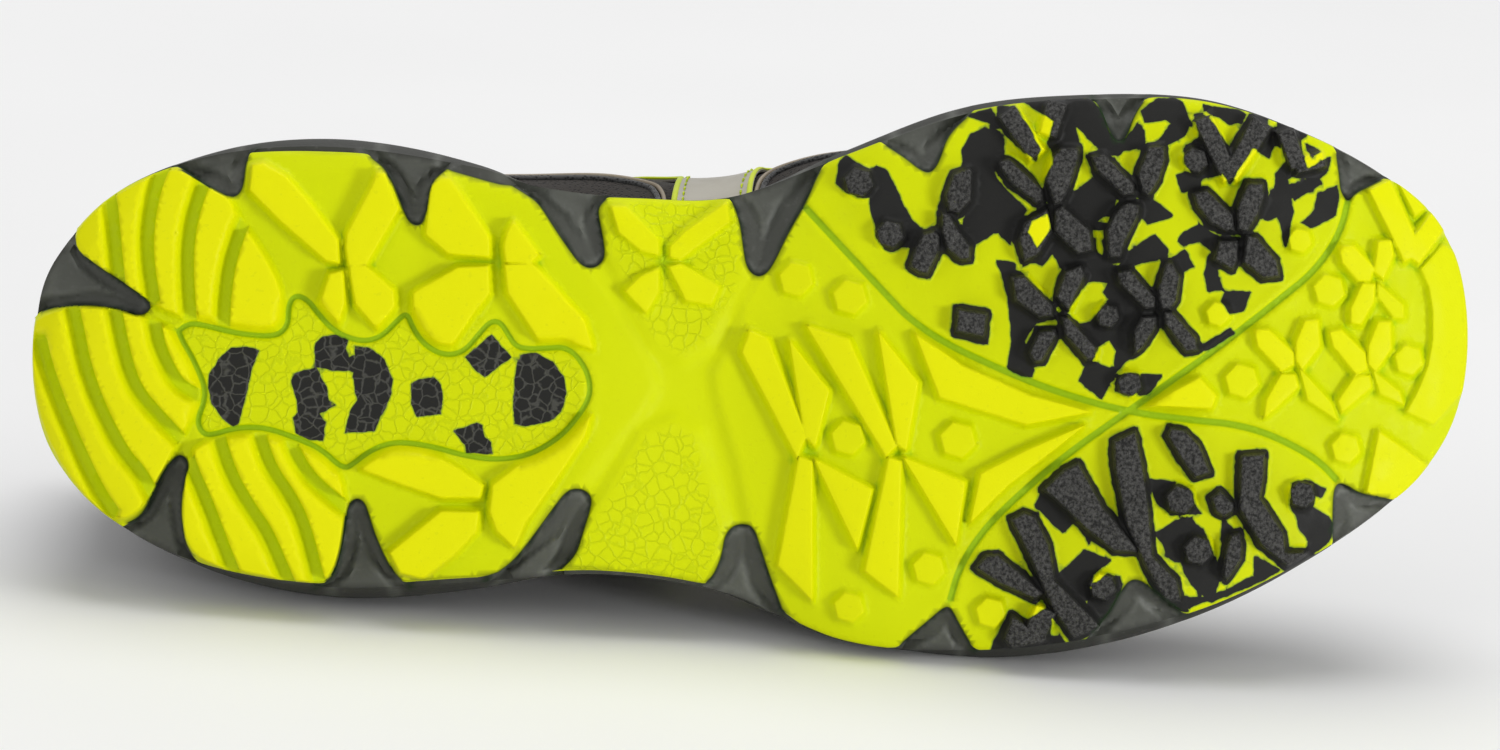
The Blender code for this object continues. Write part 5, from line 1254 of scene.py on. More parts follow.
def bar(start_along, start_across, end_along, end_across, start_width, end_width):
    start = np.array([start_along, start_across], float)
    end = np.array([end_along, end_across], float)
    side = np.array([start[1] - end[1], end[0] - start[0]]) / np.linalg.norm(end - start) / 2
    return [
        start - side * start_width,
        end - side * end_width,
        end + side * end_width,
        start + side * start_width,
    ]


def raised_parts():
    """Loops of the lug tops with their share of the lug height and the run of their sides."""
    raised = []
    raised += [(stud(*row[:3]), row[3]) for row in STUDS]
    raised += [(bar(*row[:6]), row[6]) for row in BARS]
    raised += [(corners, share) for share, corners in BLOCKS]
    raised = [(anticlockwise(plan(corners)), share, DRAFT) for corners, share in raised]
    raised += [(rounded(anticlockwise(plan(corners)), times=1), 1.0, DRAFT) for corners in PODS]
    for corners in BLACK_LUGS:
        loop = anticlockwise(plan(corners))
        raised.append((offset_loop(loop, -BLACK_SHOULDER), 1.0, BLACK_DRAFT))
    return raised


def tread_relief(points):
    """Height of the tread over its skin, its colour from the cuts to the lug tops (partly the rubber's own
    yellow and lime, partly painted shade low down, in grooves and in crowded gaps), and its lines.
    """
    height = np.zeros(len(points))
    # crowd counts how closely lugs crowd round each point, only for the painted shade between them.
    crowd = np.zeros(len(points))
    for loop, share, draft in raised_parts():
        away = signed_distance(points, loop, CROWD_REACH)
        slope = np.clip(away / draft, 0, 1)
        dome = np.clip((away + DOME_WIDTH) / DOME_WIDTH, 0, 1) ** 2 * DOME_DROP
        dome = np.where(away < 0, dome, DOME_DROP * (1 - slope))
        height = np.maximum(height, share * LUG_HEIGHT * ((1 - slope) ** 1.5 - dome))
        crowd += np.where(away < CROWD_REACH, np.exp(-((np.maximum(away, 0) / CROWD_WIDTH) ** 2)), 0)
    cut = np.zeros(len(points))
    half = GROOVE_WIDTH / 2
    for corners in GROOVES:
        line = resampled(rounded(plan(corners), closed=False), GROOVE_STEP, closed=False)
        away = signed_distance(points, line, GROOVE_REACH, closed=False)
        steep = points[:, 0] > np.interp(points[:, 1], line[:, 1], line[:, 0])
        start, run = (np.where(steep, one, other) * half for one, other in zip(GROOVE_STEEP, GROOVE_GENTLE))
        rise = soft_step((away - start) / run)
        limit = LUG_HEIGHT * (GROOVE_SHARE + (1 - GROOVE_SHARE) * rise)
        height = np.where(away < GROOVE_REACH, np.minimum(height, limit), height)
        cut = np.maximum(cut, 1 - soft_step((away - start) / (run * 0.8)))
    # Partly the rubber's own colour and partly painted shade: lower points are toned greener, lug tops
    # yellow.
    share = np.clip(height / LUG_HEIGHT, 0, 1)
    tone = 0.5 + 0.5 * share
    # Painted shade in the narrow gaps between crowded lugs.
    tone -= CROWD_SHADE * np.clip((crowd - 0.62) / 0.5, 0, 1) * (1 - np.clip(share * 1.6, 0, 1))
    raised_ground = np.full(len(points), 1.0)
    for corners in PLATEAUS:
        away = field_distance(points, corners, FIELD_REACH)
        raised_ground = np.minimum(raised_ground, soft_step(away / VALLEY_SLOPE))
    height -= VALLEY_DEPTH * raised_ground * np.clip(1 - height / LUG_HEIGHT, 0, 1)
    on_pod = np.zeros(len(points))
    for corners in PODS:
        away = field_distance(points, corners, NEAR_REACH)
        on_pod = np.maximum(on_pod, np.clip(0.5 - away / FIELD_FADE, 0, 1))
    # Painted shade: the heel's grooves are painted dark green where they cut the pods.
    tone = np.where(cut > 0, np.minimum(tone, 1 - 0.60 * cut * on_pod), tone)
    line_share = np.zeros(len(points))
    for width, corners in PARTING_LINES:
        away = line_distance(points, corners, LINE_REACH)
        share = 1 - np.clip((away - width * 0.40) / (width * 0.2), 0, 1)
        line_share = np.maximum(line_share, share)
        limit = LUG_HEIGHT * np.clip((away - width * 0.5) / LINE_SLOPE, 0, 1.5) ** 1.4
        height = np.minimum(height, limit)
        height += LINE_LIP * np.exp(-(((away - width) / LINE_LIP_WIDTH) ** 2))
    height -= LINE_DEPTH * line_share
    for corners in TOE_LINES:
        away = line_distance(points, corners, NEAR_REACH)
        height -= TOE_LINE_DEPTH * np.exp(-((away / TOE_LINE_WIDTH) ** 2))
    return height, line_share, tone


def grid_over(loop, step):
    """Points of an even triangular grid inside the loop."""
    low, high = loop.min(axis=0), loop.max(axis=0)
    rows = np.arange(low[1], high[1], step * ROW_SHARE)
    found = []
    for index, y in enumerate(rows):
        xs = np.arange(low[0] + (index % 2) * step / 2, high[0], step)
        found.append(np.stack([xs, np.full(len(xs), y)], -1))
    found = np.concatenate(found)
    return found[signed_distance(found, loop, step) < -step * 0.35]


def black_distance(points):
    """How far inside the black rubber each point is, in millimetres."""
    inside = np.full(len(points), -LINE_REACH)
    for growth, shapes in BLACKS:
        for corners in shapes:
            inside = np.maximum(inside, growth - field_distance(points, corners, LINE_REACH))
    for corners in LIME_ISLANDS:
        inside = np.minimum(inside, field_distance(points, corners, LINE_REACH))
    return inside * 1000


def tread_floor(points):
    """Height of the rubber's lower skin between the lugs."""
    near = np.abs(signed_distance(points, SOLE_LOOP, EDGE_REACH))
    roll = EDGE_ROLL * np.interp(near, column(ROLL, 0), column(ROLL, 1))
    return ground(points[:, 0] / LENGTH) + roll + LUG_HEIGHT


def sole_loop():
    turns = np.linspace(0, math.pi, SOLE_TURNS)
    inner, outer = (edge_line(side, turns, np.zeros(SOLE_TURNS)) for side in SIDES)
    return anticlockwise(np.concatenate([inner[:-1], outer[:0:-1]]))


SOLE_LOOP = sole_loop()


def lines_beside(corners, width, shares):
    """Lines that follow a line of the plan, at shares of a width to its left."""
    line = resampled(rounded(plan(corners), closed=False), LINE_STEP, closed=False)
    tangent = unit(np.gradient(line, axis=0))
    normal = np.stack([-tangent[:, 1], tangent[:, 0]], -1)
    return [line + normal * width * share for share in shares]


def outsole():
    """Rubber with every lug, groove, valley and parting line of the tread."""
    outline = outline_points()
    loops = []
    for loop, _, draft in raised_parts():
        for distance in (-SHOULDER, 0.0, 0.35 * draft, draft):
            loops.append(resampled(offset_loop(loop, distance), TREAD_STEP))
    for corners in BLACK_FLATS + HEEL_BLACKS + LIME_ISLANDS:
        loops.append(resampled(anticlockwise(plan(corners)), TREAD_STEP))
    loops.append(resampled(offset_loop(outline, -NOTCH_LINE), NOTCH_STEP))
    chains = []
    for width, corners in PARTING_LINES:
        chains += lines_beside(corners, width, LINE_BESIDE)
    for corners in GROOVES:
        chains += lines_beside(corners, GROOVE_WIDTH, GROOVE_BESIDE)
    flat, faces = triangulated(outline, loops, chains, grid_over(outline, TREAD_STEP))
    height, line_share, tone = tread_relief(flat)
    edge_near = -signed_distance(flat, outline, LINE_REACH)
    lip = np.clip(1 - edge_near / LIP_WIDTH, 0, 1) ** 2 * LIP_RISE
    floor = tread_floor(flat)
    lower = floor - height + lip
    rim = loop_from(boundary_edges(faces))
    count = len(flat)
    inner_edge = flat[rim]
    upper = floor[rim] + RUBBER - lower[rim]
    rows = [np.column_stack([inner_edge, lower[rim] + upper * share]) for share in (0.35, 1.0)]
    points = np.concatenate([np.column_stack([flat, lower]), *rows])
    size = len(rim)
    walls = []
    previous = np.array(rim)
    for row in range(2):
        current = count + row * size + np.arange(size)
        walls.append(np.stack([np.roll(previous, -1), previous, current, np.roll(current, -1)], -1))
        previous = current
    back_points, back_faces = triangulated(inner_edge, [], [], [])
    order = np.array([np.argmin(np.hypot(*(inner_edge - p).T)) for p in back_points])
    back = (count + size + order)[back_faces]
    all_faces = [tuple(face[::-1]) for face in faces]
    all_faces += [tuple(face) for wall in walls for face in wall] + [tuple(face) for face in back]
    made = add_piece("outsole_rubber", points, all_faces, rubber_finish(), "outsole")
    turned_out(made)
    plan_points = points[:, :2]
    black = black_distance(plan_points)
    relief = np.concatenate([height, np.tile(height[rim], 2)]) / LUG_HEIGHT
    # line marks the parting lines, cut into the rubber and painted dark green as shade in the cuts.
    line_all = np.concatenate([line_share, np.zeros(2 * size)])
    # cell marks where the cell skin is bumped and its ridges painted with highlight and shade.
    cell = cell_share(plan_points) * np.clip(1.6 - 4 * relief, 0, 1)
    # tone carries the rubber's own yellow and lime together with the painted shade of cuts, grooves and
    # crowded gaps.
    tone = np.concatenate([tone, np.tile(tone[rim], 2)])
    grain = np.clip((relief - 0.62) / 0.2, 0, 1)
    # notch marks the painted shadow line along the rubber's edge inside each notch.
    in_notch = np.clip(-signed_distance(plan_points, SOLE_LOOP, FIELD_REACH) / NOTCH_FADE - 3.0, 0, 1)
    near = np.concatenate([edge_near, np.zeros(2 * size)])
    notch = in_notch * np.clip((NOTCH_LINE * 1.1 - near) / (NOTCH_LINE * 0.2), 0, 1)
    store(made, tone=tone, line=line_all, black=black, cell=cell, grain=grain, notch=notch)


def cell_share(points):
    """Where the rubber has its cell-like skin."""
    share = np.zeros(len(points))
    for corners in (PARTING_LINES[0][1], *CELL_AREAS):
        away = field_distance(points, corners, CELL_REACH)
        share = np.maximum(share, np.clip(-away / FIELD_FADE - 0.3, 0, 1))
    return share


def notch_place(points):
    """For points in a notch: how far towards its mouth, how far across, and to its line."""
    out = np.zeros(len(points))
    across = np.full(len(points), 2.0)
    near = np.full(len(points), LINE_REACH)
    for _, corners in NOTCHES:
        line = rounded(plan(corners), closed=False)
        mouth = (line[0] + line[-1]) / 2
        middle = len(line) // 2
        tip = line[middle - 2 : middle + 3].mean(axis=0)
        axis = tip - mouth
        depth = np.linalg.norm(axis)
        axis /= depth
        cross = np.array([-axis[1], axis[0]])
        along = (line - mouth) @ axis
        wide = (line - mouth) @ cross
        first = sorted(zip(along[:middle], wide[:middle]))
        second = sorted(zip(along[middle:], wide[middle:]))
        place = (points - mouth) @ axis
        sideways = (points - mouth) @ cross
        one = np.interp(place, *zip(*first))
        other = np.interp(place, *zip(*second))
        centre, width = (one + other) / 2, np.maximum(np.abs(one - other) / 2, NOTCH_THIN)
        share = (sideways - centre) / width
        here = (place > -NOTCH_MOUTH) & (place < depth * 1.02) & (np.abs(share) < 1.25)
        out = np.where(here, np.clip(1 - place / depth, 0, 1.6), out)
        across = np.where(here, share, across)
        near = np.minimum(near, signed_distance(points, line, LINE_REACH, closed=False))
    return out, across, near


def foam_rise(points):
    """How far the foam dips behind the rubber inside the notches, a painted highlight along its ridge and
    near each tip, and a painted shadow line along each notch's edge.
    """
    out, across, near = notch_place(points)
    flank = np.abs(across)
    facet = FACET_WIDTH * soft_step((out - FACET_START) / (1 - FACET_START))
    channel = soft_step((flank - facet + 0.08) / 0.30)
    rise = NOTCH_RISE * np.minimum(out, 1.1) * (0.42 + 0.58 * channel)
    rise *= soft_step((1.08 - flank) / 0.14)
    # Painted highlight along the ridge of each notch, and a painted glint near its tip.
    ridge = np.exp(-(((flank - facet) / 0.11) ** 2)) * soft_step((out - FACET_START) / 0.12)
    glint = np.exp(-(((near - GLINT_PLACE) / GLINT_WIDTH) ** 2))
    glint = glint * soft_step((0.16 - out) / 0.10) * (out > 0)
    # Painted shadow: a dark line along the notch's edge, where the foam meets the rubber.
    rim = np.clip(1.5 - near / NOTCH_RIM, 0, 1)
    return rise, np.maximum(ridge * 0.7, glint), rim


def foam_low(points):
    rise, _, _ = foam_rise(points)
    inside = np.clip(-signed_distance(points, SOLE_LOOP, FIELD_REACH) / FOAM_EDGE, 0, 1)
    rise *= 0.35 + 0.65 * soft_step(inside)
    return tread_floor(points) + RUBBER + SOLE_GAP * 0.5 + rise


def rim_points(side, turns, inset=0.0):
    station = station_of(turns)
    x = RIM_SETBACK + (LENGTH - 2 * RIM_SETBACK) * station
    flat = np.stack([x, RIM[side](turns)], -1) - outward_of(RIM[side], turns, side) * inset
    return np.column_stack([flat, ground(station) + RIM_ABOVE(station)])


def bed_loop(inset, count):
    turns = np.linspace(0, math.pi, count + 1)
    inner = rim_points("inner", turns[:-1], inset)[:, :2]
    outer = rim_points("outer", turns[::-1][:-1], inset)[:, :2]
    return np.concatenate([inner, outer])


def rim_surface(points, cup):
    """Height of the midsole's upper face: level rim, then down into the footbed."""
    station = np.clip((points[:, 0] - RIM_SETBACK) / (LENGTH - 2 * RIM_SETBACK), 0, 1)
    rim = ground(station) + RIM_ABOVE(station)
    near = np.maximum(signed_distance(points, cup, EDGE_REACH), 0)
    slope = (CUP_WIDTH - BAND_WIDTH) * 0.98
    return rim - FOOTBED_DEPTH * np.clip(1 - near / slope, 0, 1)


def foam_sides():
    """Points down the foam's side, a column for each turn all round the sole."""
    turns = np.linspace(0, math.pi, FOAM_COLUMNS + 1)
    heights = np.linspace(0, 1, FOAM_ROWS + 1) ** 0.9
    way = curve_through(column(MIDSOLE_SIDE, 0), column(MIDSOLE_SIDE, 1))(heights)
    bulge = curve_through(column(MIDSOLE_SIDE, 0), column(MIDSOLE_SIDE, 2))(heights)
    groove = sum(depth * np.exp(-(((heights - place) / width) ** 2)) for place, width, depth in SIDE_GROOVES)
    columns = []
    for side, some in ring_of(turns):
        outward = outward_of(SOLE[side], some, side)
        low = edge_line(side, some, FOAM_INSET[side](station_of(some)))
        swell = BULGE_SHARE[side](station_of(some))
        base = foam_low(low)
        top = rim_points(side, some)
        for i in range(len(some)):
            flat = low[i] + (top[i, :2] - low[i]) * way[:, None]
            flat = flat + outward[i] * bulge[:, None] * swell[i] - outward[i] * groove[:, None]
            columns.append(np.column_stack([flat, base[i] + (top[i, 2] - base[i]) * heights]))
    return np.array(columns)


def midsole():
    """Foam body with ribbed, scalloped sides, dips at the notches and a dished footbed."""
    sides = foam_sides()
    count, rows = sides.shape[:2]
    points = [sides.reshape(-1, 3)]
    faces = [(a, d, c, b) for a, b, c, d in grid_faces(0, count, rows, wrap=True)]
    loop = sides[:, 0, :2]
    inside = []
    for _, corners in NOTCHES:
        grown = anticlockwise(plan(corners))
        grown = grown + (grown - grown.mean(axis=0)) * NOTCH_MARGIN
        inside.append(grid_over(grown, FOAM_NOTCH_STEP))
    spread = np.concatenate(inside + [grid_over(loop, BED_STEP)])
    spread = spread[signed_distance(spread, anticlockwise(loop), CELL_REACH) < -FOAM_MARGIN]
    flat, low_faces = triangulated(loop, [], [], spread)
    base = len(points[0])
    height = foam_low(flat)
    gaps = np.hypot(flat[:, None, 0] - loop[None, :, 0], flat[:, None, 1] - loop[None, :, 1])
    nearest = gaps.argmin(axis=1)
    at_edge = gaps.min(axis=1) < SAME_RIM_POINT
    height = np.where(at_edge, sides[nearest, 0, 2], height)
    points.append(np.column_stack([flat, height]))
    faces += [tuple(base + i for i in face[::-1]) for face in low_faces]
    base += len(flat)
    top = sides[:, -1, :2]
    cup = bed_loop(CUP_WIDTH, BED_TURNS)
    loops = [bed_loop(BAND_WIDTH, BED_TURNS), cup]
    flat, top_faces = triangulated(top, loops, [], grid_over(bed_loop(BED_EDGE, BED_EDGE_TURNS), BED_STEP))
    points.append(np.column_stack([flat, rim_surface(flat, cup)]))
    faces += [tuple(base + i for i in face) for face in top_faces]
    points = np.concatenate(points)
    made = add_piece("midsole_foam", points, faces, foam_finish(), "midsole")
    # ridge, rim and low carry a painted highlight, a painted shadow line and the lighter paint on the foam's
    # faces towards the tread.
    _, ridge, rim = foam_rise(points[:, :2])
    below = points[:, 2] < tread_floor(points[:, :2]) + RUBBER + LOW_BAND
    edge = signed_distance(points[:, :2], SOLE_LOOP, FIELD_REACH)
    low = below * np.clip(-edge / LOW_FADE - 0.4, 0, 1)
    store(made, ridge=ridge * below, rim=rim * below, low=low)
    turned_out(made, SAME_POINT, SHARP_ANGLE)


def upper_points(side, turns, shares):
    """Points of the upper's outer face, from its foot on the rim to its top edge."""
    turns, shares = np.broadcast_arrays(np.asarray(turns, float), np.asarray(shares, float))
    shape = turns.shape
    turns, shares = turns.ravel(), shares.ravel()
    outward = np.column_stack([outward_of(RIM[side], turns, side), np.zeros(len(turns))])
    foot = rim_points(side, turns) - outward * FOOT_INSET + np.array([0, 0, FIT_GAP])
    station = station_of(turns)
    half = np.where(station < THROAT_FRONT - 1e-6, np.maximum(TOP_HALF(turns), 0), 0)
    across = TOP_CENTRE(turns) + SIGN[side] * half
    top = np.column_stack([TOP_STATION(turns) * LENGTH, across, TOP_LEVEL(turns)])
    rise = top - foot
    level = np.column_stack([-rise[:, 0], -rise[:, 1], np.zeros(len(turns))])
    away = np.linalg.norm(level, axis=1)[:, None]
    level = np.where(away > 1e-4, level / np.maximum(away, 1e-9), outward)
    lean = np.radians(TOP_LEAN(turns))[:, None]
    reach = 0.5 * np.linalg.norm(rise, axis=1)[:, None]
    swell = np.sin(math.pi * np.clip(np.maximum(station, 0.04) / 0.9, 0, 1)) ** 0.5
    bulge = np.where(station < 0.9, SIDE_BULGE * swell, 0)[:, None]
    if side == "inner":
        bulge += ARCH_SWELL(station)[:, None]
    up = np.array([0, 0, 1])
    first = foot + outward * bulge + up * rise[:, 2:] * 0.5
    second = top + level * np.cos(lean) * reach - up * np.sin(lean) * reach
    part = shares[:, None]
    rest = 1 - part
    found = foot * rest**3 + first * 3 * rest**2 * part + second * 3 * rest * part**2
    return (found + top * part**3).reshape(*shape, 3)


def skin_at(side, turns, shares, lift):
    """Points at a lift off the upper's outer face."""
    turns, shares, lift = np.broadcast_arrays(*(np.asarray(v, float) for v in (turns, shares, lift)))
    step = 0.004
    here = upper_points(side, turns, shares)
    low, high = np.clip(turns - step, 0, math.pi), np.clip(turns + step, 0, math.pi)
    around = upper_points(side, high, shares) - upper_points(side, low, shares)
    under, over = np.clip(shares - 0.01, 0, 1), np.clip(shares + 0.01, 0, 1)
    along = upper_points(side, turns, over) - upper_points(side, turns, under)
    normal = unit(np.cross(along, around) * SIGN[side])
    seam = (station_of(turns) >= THROAT_FRONT - 1e-6) & (shares > SEAM_START)
    flat = normal.copy()
    flat[..., 1] = np.where(seam, normal[..., 1] * (1 - (shares - SEAM_START) / 0.03), normal[..., 1])
    return here + unit(flat) * lift[..., None]


def wall_at(stations, shares):
    """Wall thickness: the padded collar is thicker than the vamp."""
    pad = 1 - soft_step((stations - PAD_SPAN[0]) / (PAD_SPAN[1] - PAD_SPAN[0]))
    rise = soft_step((shares - PAD_START) / (0.8 - PAD_START))
    lip = 1 - 0.45 * soft_step((shares - 0.9) / 0.1)
    return UPPER_WALL + COLLAR_PAD * pad * rise * lip


def plate(name, outer, inner, faces, finish, node=None, roll=0.4):
    """Closed sheet between two skins with the same faces, its edges rolled over."""
    outer, inner = (np.asarray(skin, float).reshape(-1, 3) for skin in (outer, inner))
    built = bmesh.new()
    layer = built.verts.layers.int.new("origin")
    verts = [built.verts.new(point) for point in outer]
    for face in faces:
        if len(set(face)) == len(face):
            try:
                built.faces.new([verts[i] for i in face])
            except ValueError:
                pass
    for index, vert in enumerate(verts):
        vert[layer] = index
    bmesh.ops.remove_doubles(built, verts=built.verts, dist=SAME_POINT)
    bmesh.ops.delete(built, geom=[v for v in built.verts if not v.link_faces], context="VERTS")
    built.verts.index_update()
    kept = list(built.verts)
    origins = [vert[layer] for vert in kept]
    skin = [[v.index for v in face.verts] for face in built.faces]
    built.free()
    count = len(kept)
    points = [outer[origins], inner[origins]]
    all_faces = list(map(tuple, skin)) + [tuple(i + count for i in face[::-1]) for face in skin]
    middle = {}
    for face in skin:
        centre = outer[[origins[i] for i in face]].mean(axis=0)
        for a, b in zip(face, face[1:] + face[:1]):
            middle[(a, b)] = centre
    edges = boundary_edges(skin)
    push = {}
    for a, b in edges:
        ends = outer[origins[a]], outer[origins[b]]
        run = ends[1] - ends[0]
        away = (ends[0] + ends[1]) / 2 - middle[(a, b)]
        length = np.linalg.norm(run)
        away = unit(away - run * np.dot(away, run) / max(length**2, 1e-18))
        for i in (a, b):
            push[i] = push.get(i, 0) + away
    rims = {}
    extra = []
    for i, way in push.items():
        first, second = outer[origins[i]], inner[origins[i]]
        thick = np.linalg.norm(first - second)
        rims[i] = 2 * count + len(extra)
        extra.append((first + second) / 2 + unit(way) * thick * roll)
    for a, b in edges:
        all_faces.append((b, a, rims[a], rims[b]))
        all_faces.append((rims[b], rims[a], a + count, b + count))
    made = add_piece(name, np.concatenate([*points, extra]), all_faces, finish, node)
    return turned_out(made, SAME_RIM_POINT, SHARP_ANGLE)


def grid_faces(first, count, rows, wrap=False):
    """Quads between columns of points."""
    found = []
    for k in range(count if wrap else count - 1):
        a, b = first + k * rows, first + (k + 1) % count * rows
        found += [(a + j, a + j + 1, b + j + 1, b + j) for j in range(rows - 1)]
    return found


def cloth_finish(name, colour, light, scale=1000.0):
    """Open knitted mesh: small holes painted near-black as shade, in rows between rounded yarns."""
    made = Finish(name, 0.85, Specular_IOR_Level=0.25, Sheen_Weight=0.12)
    share = made.span(made.cells(scale), 0.10, 0.42)
    weave = made.noise(2600.0, 2.0)
    cloth = made.mix(made.span(weave, 0.3, 0.7, 0.0, 0.5), colour, light)
    # Painted shade: the holes are painted near-black, as the shade seen through them.
    cloth = made.mix(share, (0.004, 0.004, 0.004), cloth)
    skin = made.bump(share, 0.0005, 0.8)
    skin = made.bump(weave, 0.0002, 0.6, skin)
    return made.finish(cloth, skin)


def film_finish(name, colour, light, gloss=0.42):
    """Welded film with a fine grain."""
    made = Finish(name, gloss, Specular_IOR_Level=0.5, Coat_Weight=0.08)
    cloud = made.span(made.noise(90.0, 3.0), 0.3, 0.7)
    skin = made.bump(made.noise(1600.0, 2.0), 0.00008, 0.5)
    rough = made.span(made.noise(300.0, 3.0), 0.3, 0.7, gloss - 0.06, gloss + 0.10)
    return made.finish(made.mix(cloud, colour, light), skin, rough)


def webbing_finish(name, colour, dark):
    """Flat woven lace with a fine herring-bone."""
    made = Finish(name, 0.8, Specular_IOR_Level=0.2, Sheen_Weight=0.2)
    share = made.span(made.cells(1500.0), 0.1, 0.6)
    skin = made.bump(share, 0.0003, 0.8)
    return made.finish(made.mix(share, dark, colour), skin)


MESH_FINISH = cloth_finish("black_mesh", (0.016, 0.012, 0.009), (0.036, 0.028, 0.021))
LINING_FINISH = cloth_finish("lining_cloth", (0.030, 0.030, 0.031), (0.060, 0.060, 0.062), 1600.0)
FILM_FINISH = film_finish("grey_film", (0.045, 0.045, 0.048), (0.062, 0.062, 0.066))
SILVER_FINISH = film_finish("silver_film", (0.40, 0.375, 0.315), (0.46, 0.435, 0.37), 0.36)
LIME_FINISH = film_finish("lime_film", (0.55, 0.68, 0.01), (0.66, 0.76, 0.01))
BEIGE_FINISH = film_finish("beige_film", (0.27, 0.22, 0.155), (0.34, 0.285, 0.205))
WEB_FINISH = webbing_finish("lime_webbing", (0.60, 0.72, 0.02), (0.30, 0.40, 0.01))
THREAD_FINISH = webbing_finish("dark_thread", (0.10, 0.10, 0.10), (0.04, 0.04, 0.04))
LIME_THREAD = webbing_finish("lime_thread", (0.60, 0.74, 0.01), (0.35, 0.46, 0.01))
INSOLE_FINISH = cloth_finish("insole_cloth", (0.080, 0.080, 0.085), (0.13, 0.13, 0.135), 1300.0)

def flex_lines(turns, shares):
    """Shallow creases over the toes, where the shoe bends."""
    station = station_of(turns)
    found = np.zeros(np.broadcast(turns, shares).shape)
    for middle, slant, deep in CREASES:
        bent = middle - slant * (1 - shares)
        found = found + deep * np.exp(-(((station - bent) / 0.006) ** 2))
    return CREASE_DEPTH * found * soft_step((shares - 0.35) / 0.3)


def upper_shell():
    """Mesh upper: one hollow skin, open at the collar and throat."""
    fixed = [float(turn_of(s)) for s in (COLLAR_FRONT, THROAT_FRONT)]
    turns = np.linspace(0, math.pi, UPPER_COLUMNS + 1)
    turns = turns[np.all(np.abs(turns[:, None] - fixed) > 0.008, axis=1)]
    turns = np.sort(np.concatenate([turns, fixed]))
    shares = np.linspace(0, 1, UPPER_ROWS + 1)
    outer, inner = [], []
    for side, some in ring_of(turns):
        a, b = np.meshgrid(some, shares, indexing="ij")
        dip = flex_lines(a, b)
        outer.append(skin_at(side, a, b, -dip))
        inner.append(skin_at(side, a, b, -SKIN_WALL - dip))
    outer, inner = np.concatenate(outer), np.concatenate(inner)
    inner[:, 0, 2] = outer[:, 0, 2]
    count, rows = outer.shape[:2]
    faces = grid_faces(0, count, rows, wrap=True)
    plate("upper_shell", outer, inner, faces, MESH_FINISH, "upper")


def collar_lining():
    """Padded lining inside the collar, rolled over its top edge."""
    turns = np.linspace(0, float(turn_of(LINING_END)), LINING_TURNS)
    shares = np.concatenate([np.linspace(LINING_LOW, 0.9, 22), np.linspace(0.92, 1.0, 8)])
    outer, inner = [], []
    for side, some in (("outer", turns[::-1][:-1]), ("inner", turns)):
        a, b = np.meshgrid(some, shares, indexing="ij")
        station = station_of(a)
        thick = wall_at(station, b) - SKIN_WALL
        puff = LINING_PUFF * np.sin(math.pi * np.clip((b - 0.5) / 0.5, 0, 1))
        puff = puff * (1 - soft_step((station - 0.36) / 0.06))
        outer.append(skin_at(side, a, b, -SKIN_WALL - LINING_GAP))
        inner.append(skin_at(side, a, b, -SKIN_WALL - 3 * LINING_GAP - thick - puff))
    outer, inner = np.concatenate(outer), np.concatenate(inner)
    count, rows = outer.shape[:2]
    faces = grid_faces(0, count, rows)
    made = plate("collar_lining", outer, inner, faces, LINING_FINISH, roll=0.5)


def film(name, node, columns, low, high):
    """Sheet of film on the upper over runs of columns, between two heights given by station."""
    outer, inner, faces = [], [], []
    share = np.linspace(0, 1, FILM_ROWS)
    for run in columns:
        base = sum(len(part) for part in outer)
        count = sum(len(some) for _, some in run)
        for side, some in run:
            station = station_of(some)
            bottom, top = low(station)[:, None], high(station)[:, None]
            heights = bottom + (top - bottom) * share[None]
            turns = np.broadcast_to(some[:, None], heights.shape)
            dip = flex_lines(turns, heights)
            inner.append(skin_at(side, turns, heights, FILM_LIFT - dip).reshape(-1, 3))
            outer.append(skin_at(side, turns, heights, FILM_TOP - dip).reshape(-1, 3))
        faces += grid_faces(base, count, FILM_ROWS)
    plate(name, np.concatenate(outer), np.concatenate(inner), faces, FILM_FINISH, node)


def turns_between(first, last, count):
    return np.linspace(float(turn_of(first)), float(turn_of(last)), count)


def rounded_start(height, past):
    """Height of an overlay that begins with a round corner, by how far its start lies back."""
    grown = np.clip(past / OVERLAY_CORNER, 0, 1)
    return OVERLAY_START + (height - OVERLAY_START) * np.sqrt(1 - (1 - grown) ** 2)


def toe_height(station):
    height = TOE_CAP_LOW + TOE_CAP_RISE * soft_step((station - TOE_CAP_START) / 0.12)
    return rounded_start(height, station - TOE_CAP_START)


def counter_height(station):
    height = COUNTER_LOW + COUNTER_RISE * (1 - soft_step(station / COUNTER_END))
    return rounded_start(height, COUNTER_END - station)


def panel_edges(shares):
    """Stations of the side panel's two edges: near upright at the sole, flared above."""
    flare = soft_step((shares - PANEL_BEND) / (PANEL_HIGH - PANEL_BEND))
    back = PANEL_START - PANEL_SPREAD * flare
    front = PANEL_END + PANEL_SLANT * np.clip(shares / PANEL_BEND, 0, 1) + PANEL_SPREAD * flare
    return back, front


def strap(side):
    """Silver film from the sole up to the eyestay."""
    shares = np.linspace(OVERLAY_LOW, PANEL_HIGH, 40)
    back, front = panel_edges(shares)
    across = np.linspace(0, 1, 26)
    stations = back[None] + (front - back)[None] * across[:, None]
    turns = turn_of(stations)
    heights = np.broadcast_to(shares[None], turns.shape)
    if side == "outer":
        turns = turns[::-1]
    inner = skin_at(side, turns, heights, PANEL_LIFT)
    outer = skin_at(side, turns, heights, PANEL_LIFT + PANEL_THICKNESS)
    faces = grid_faces(0, len(across), len(shares))
    plate(f"side_film_{side}", outer, inner, faces, SILVER_FINISH, f"side_panel_{side}")


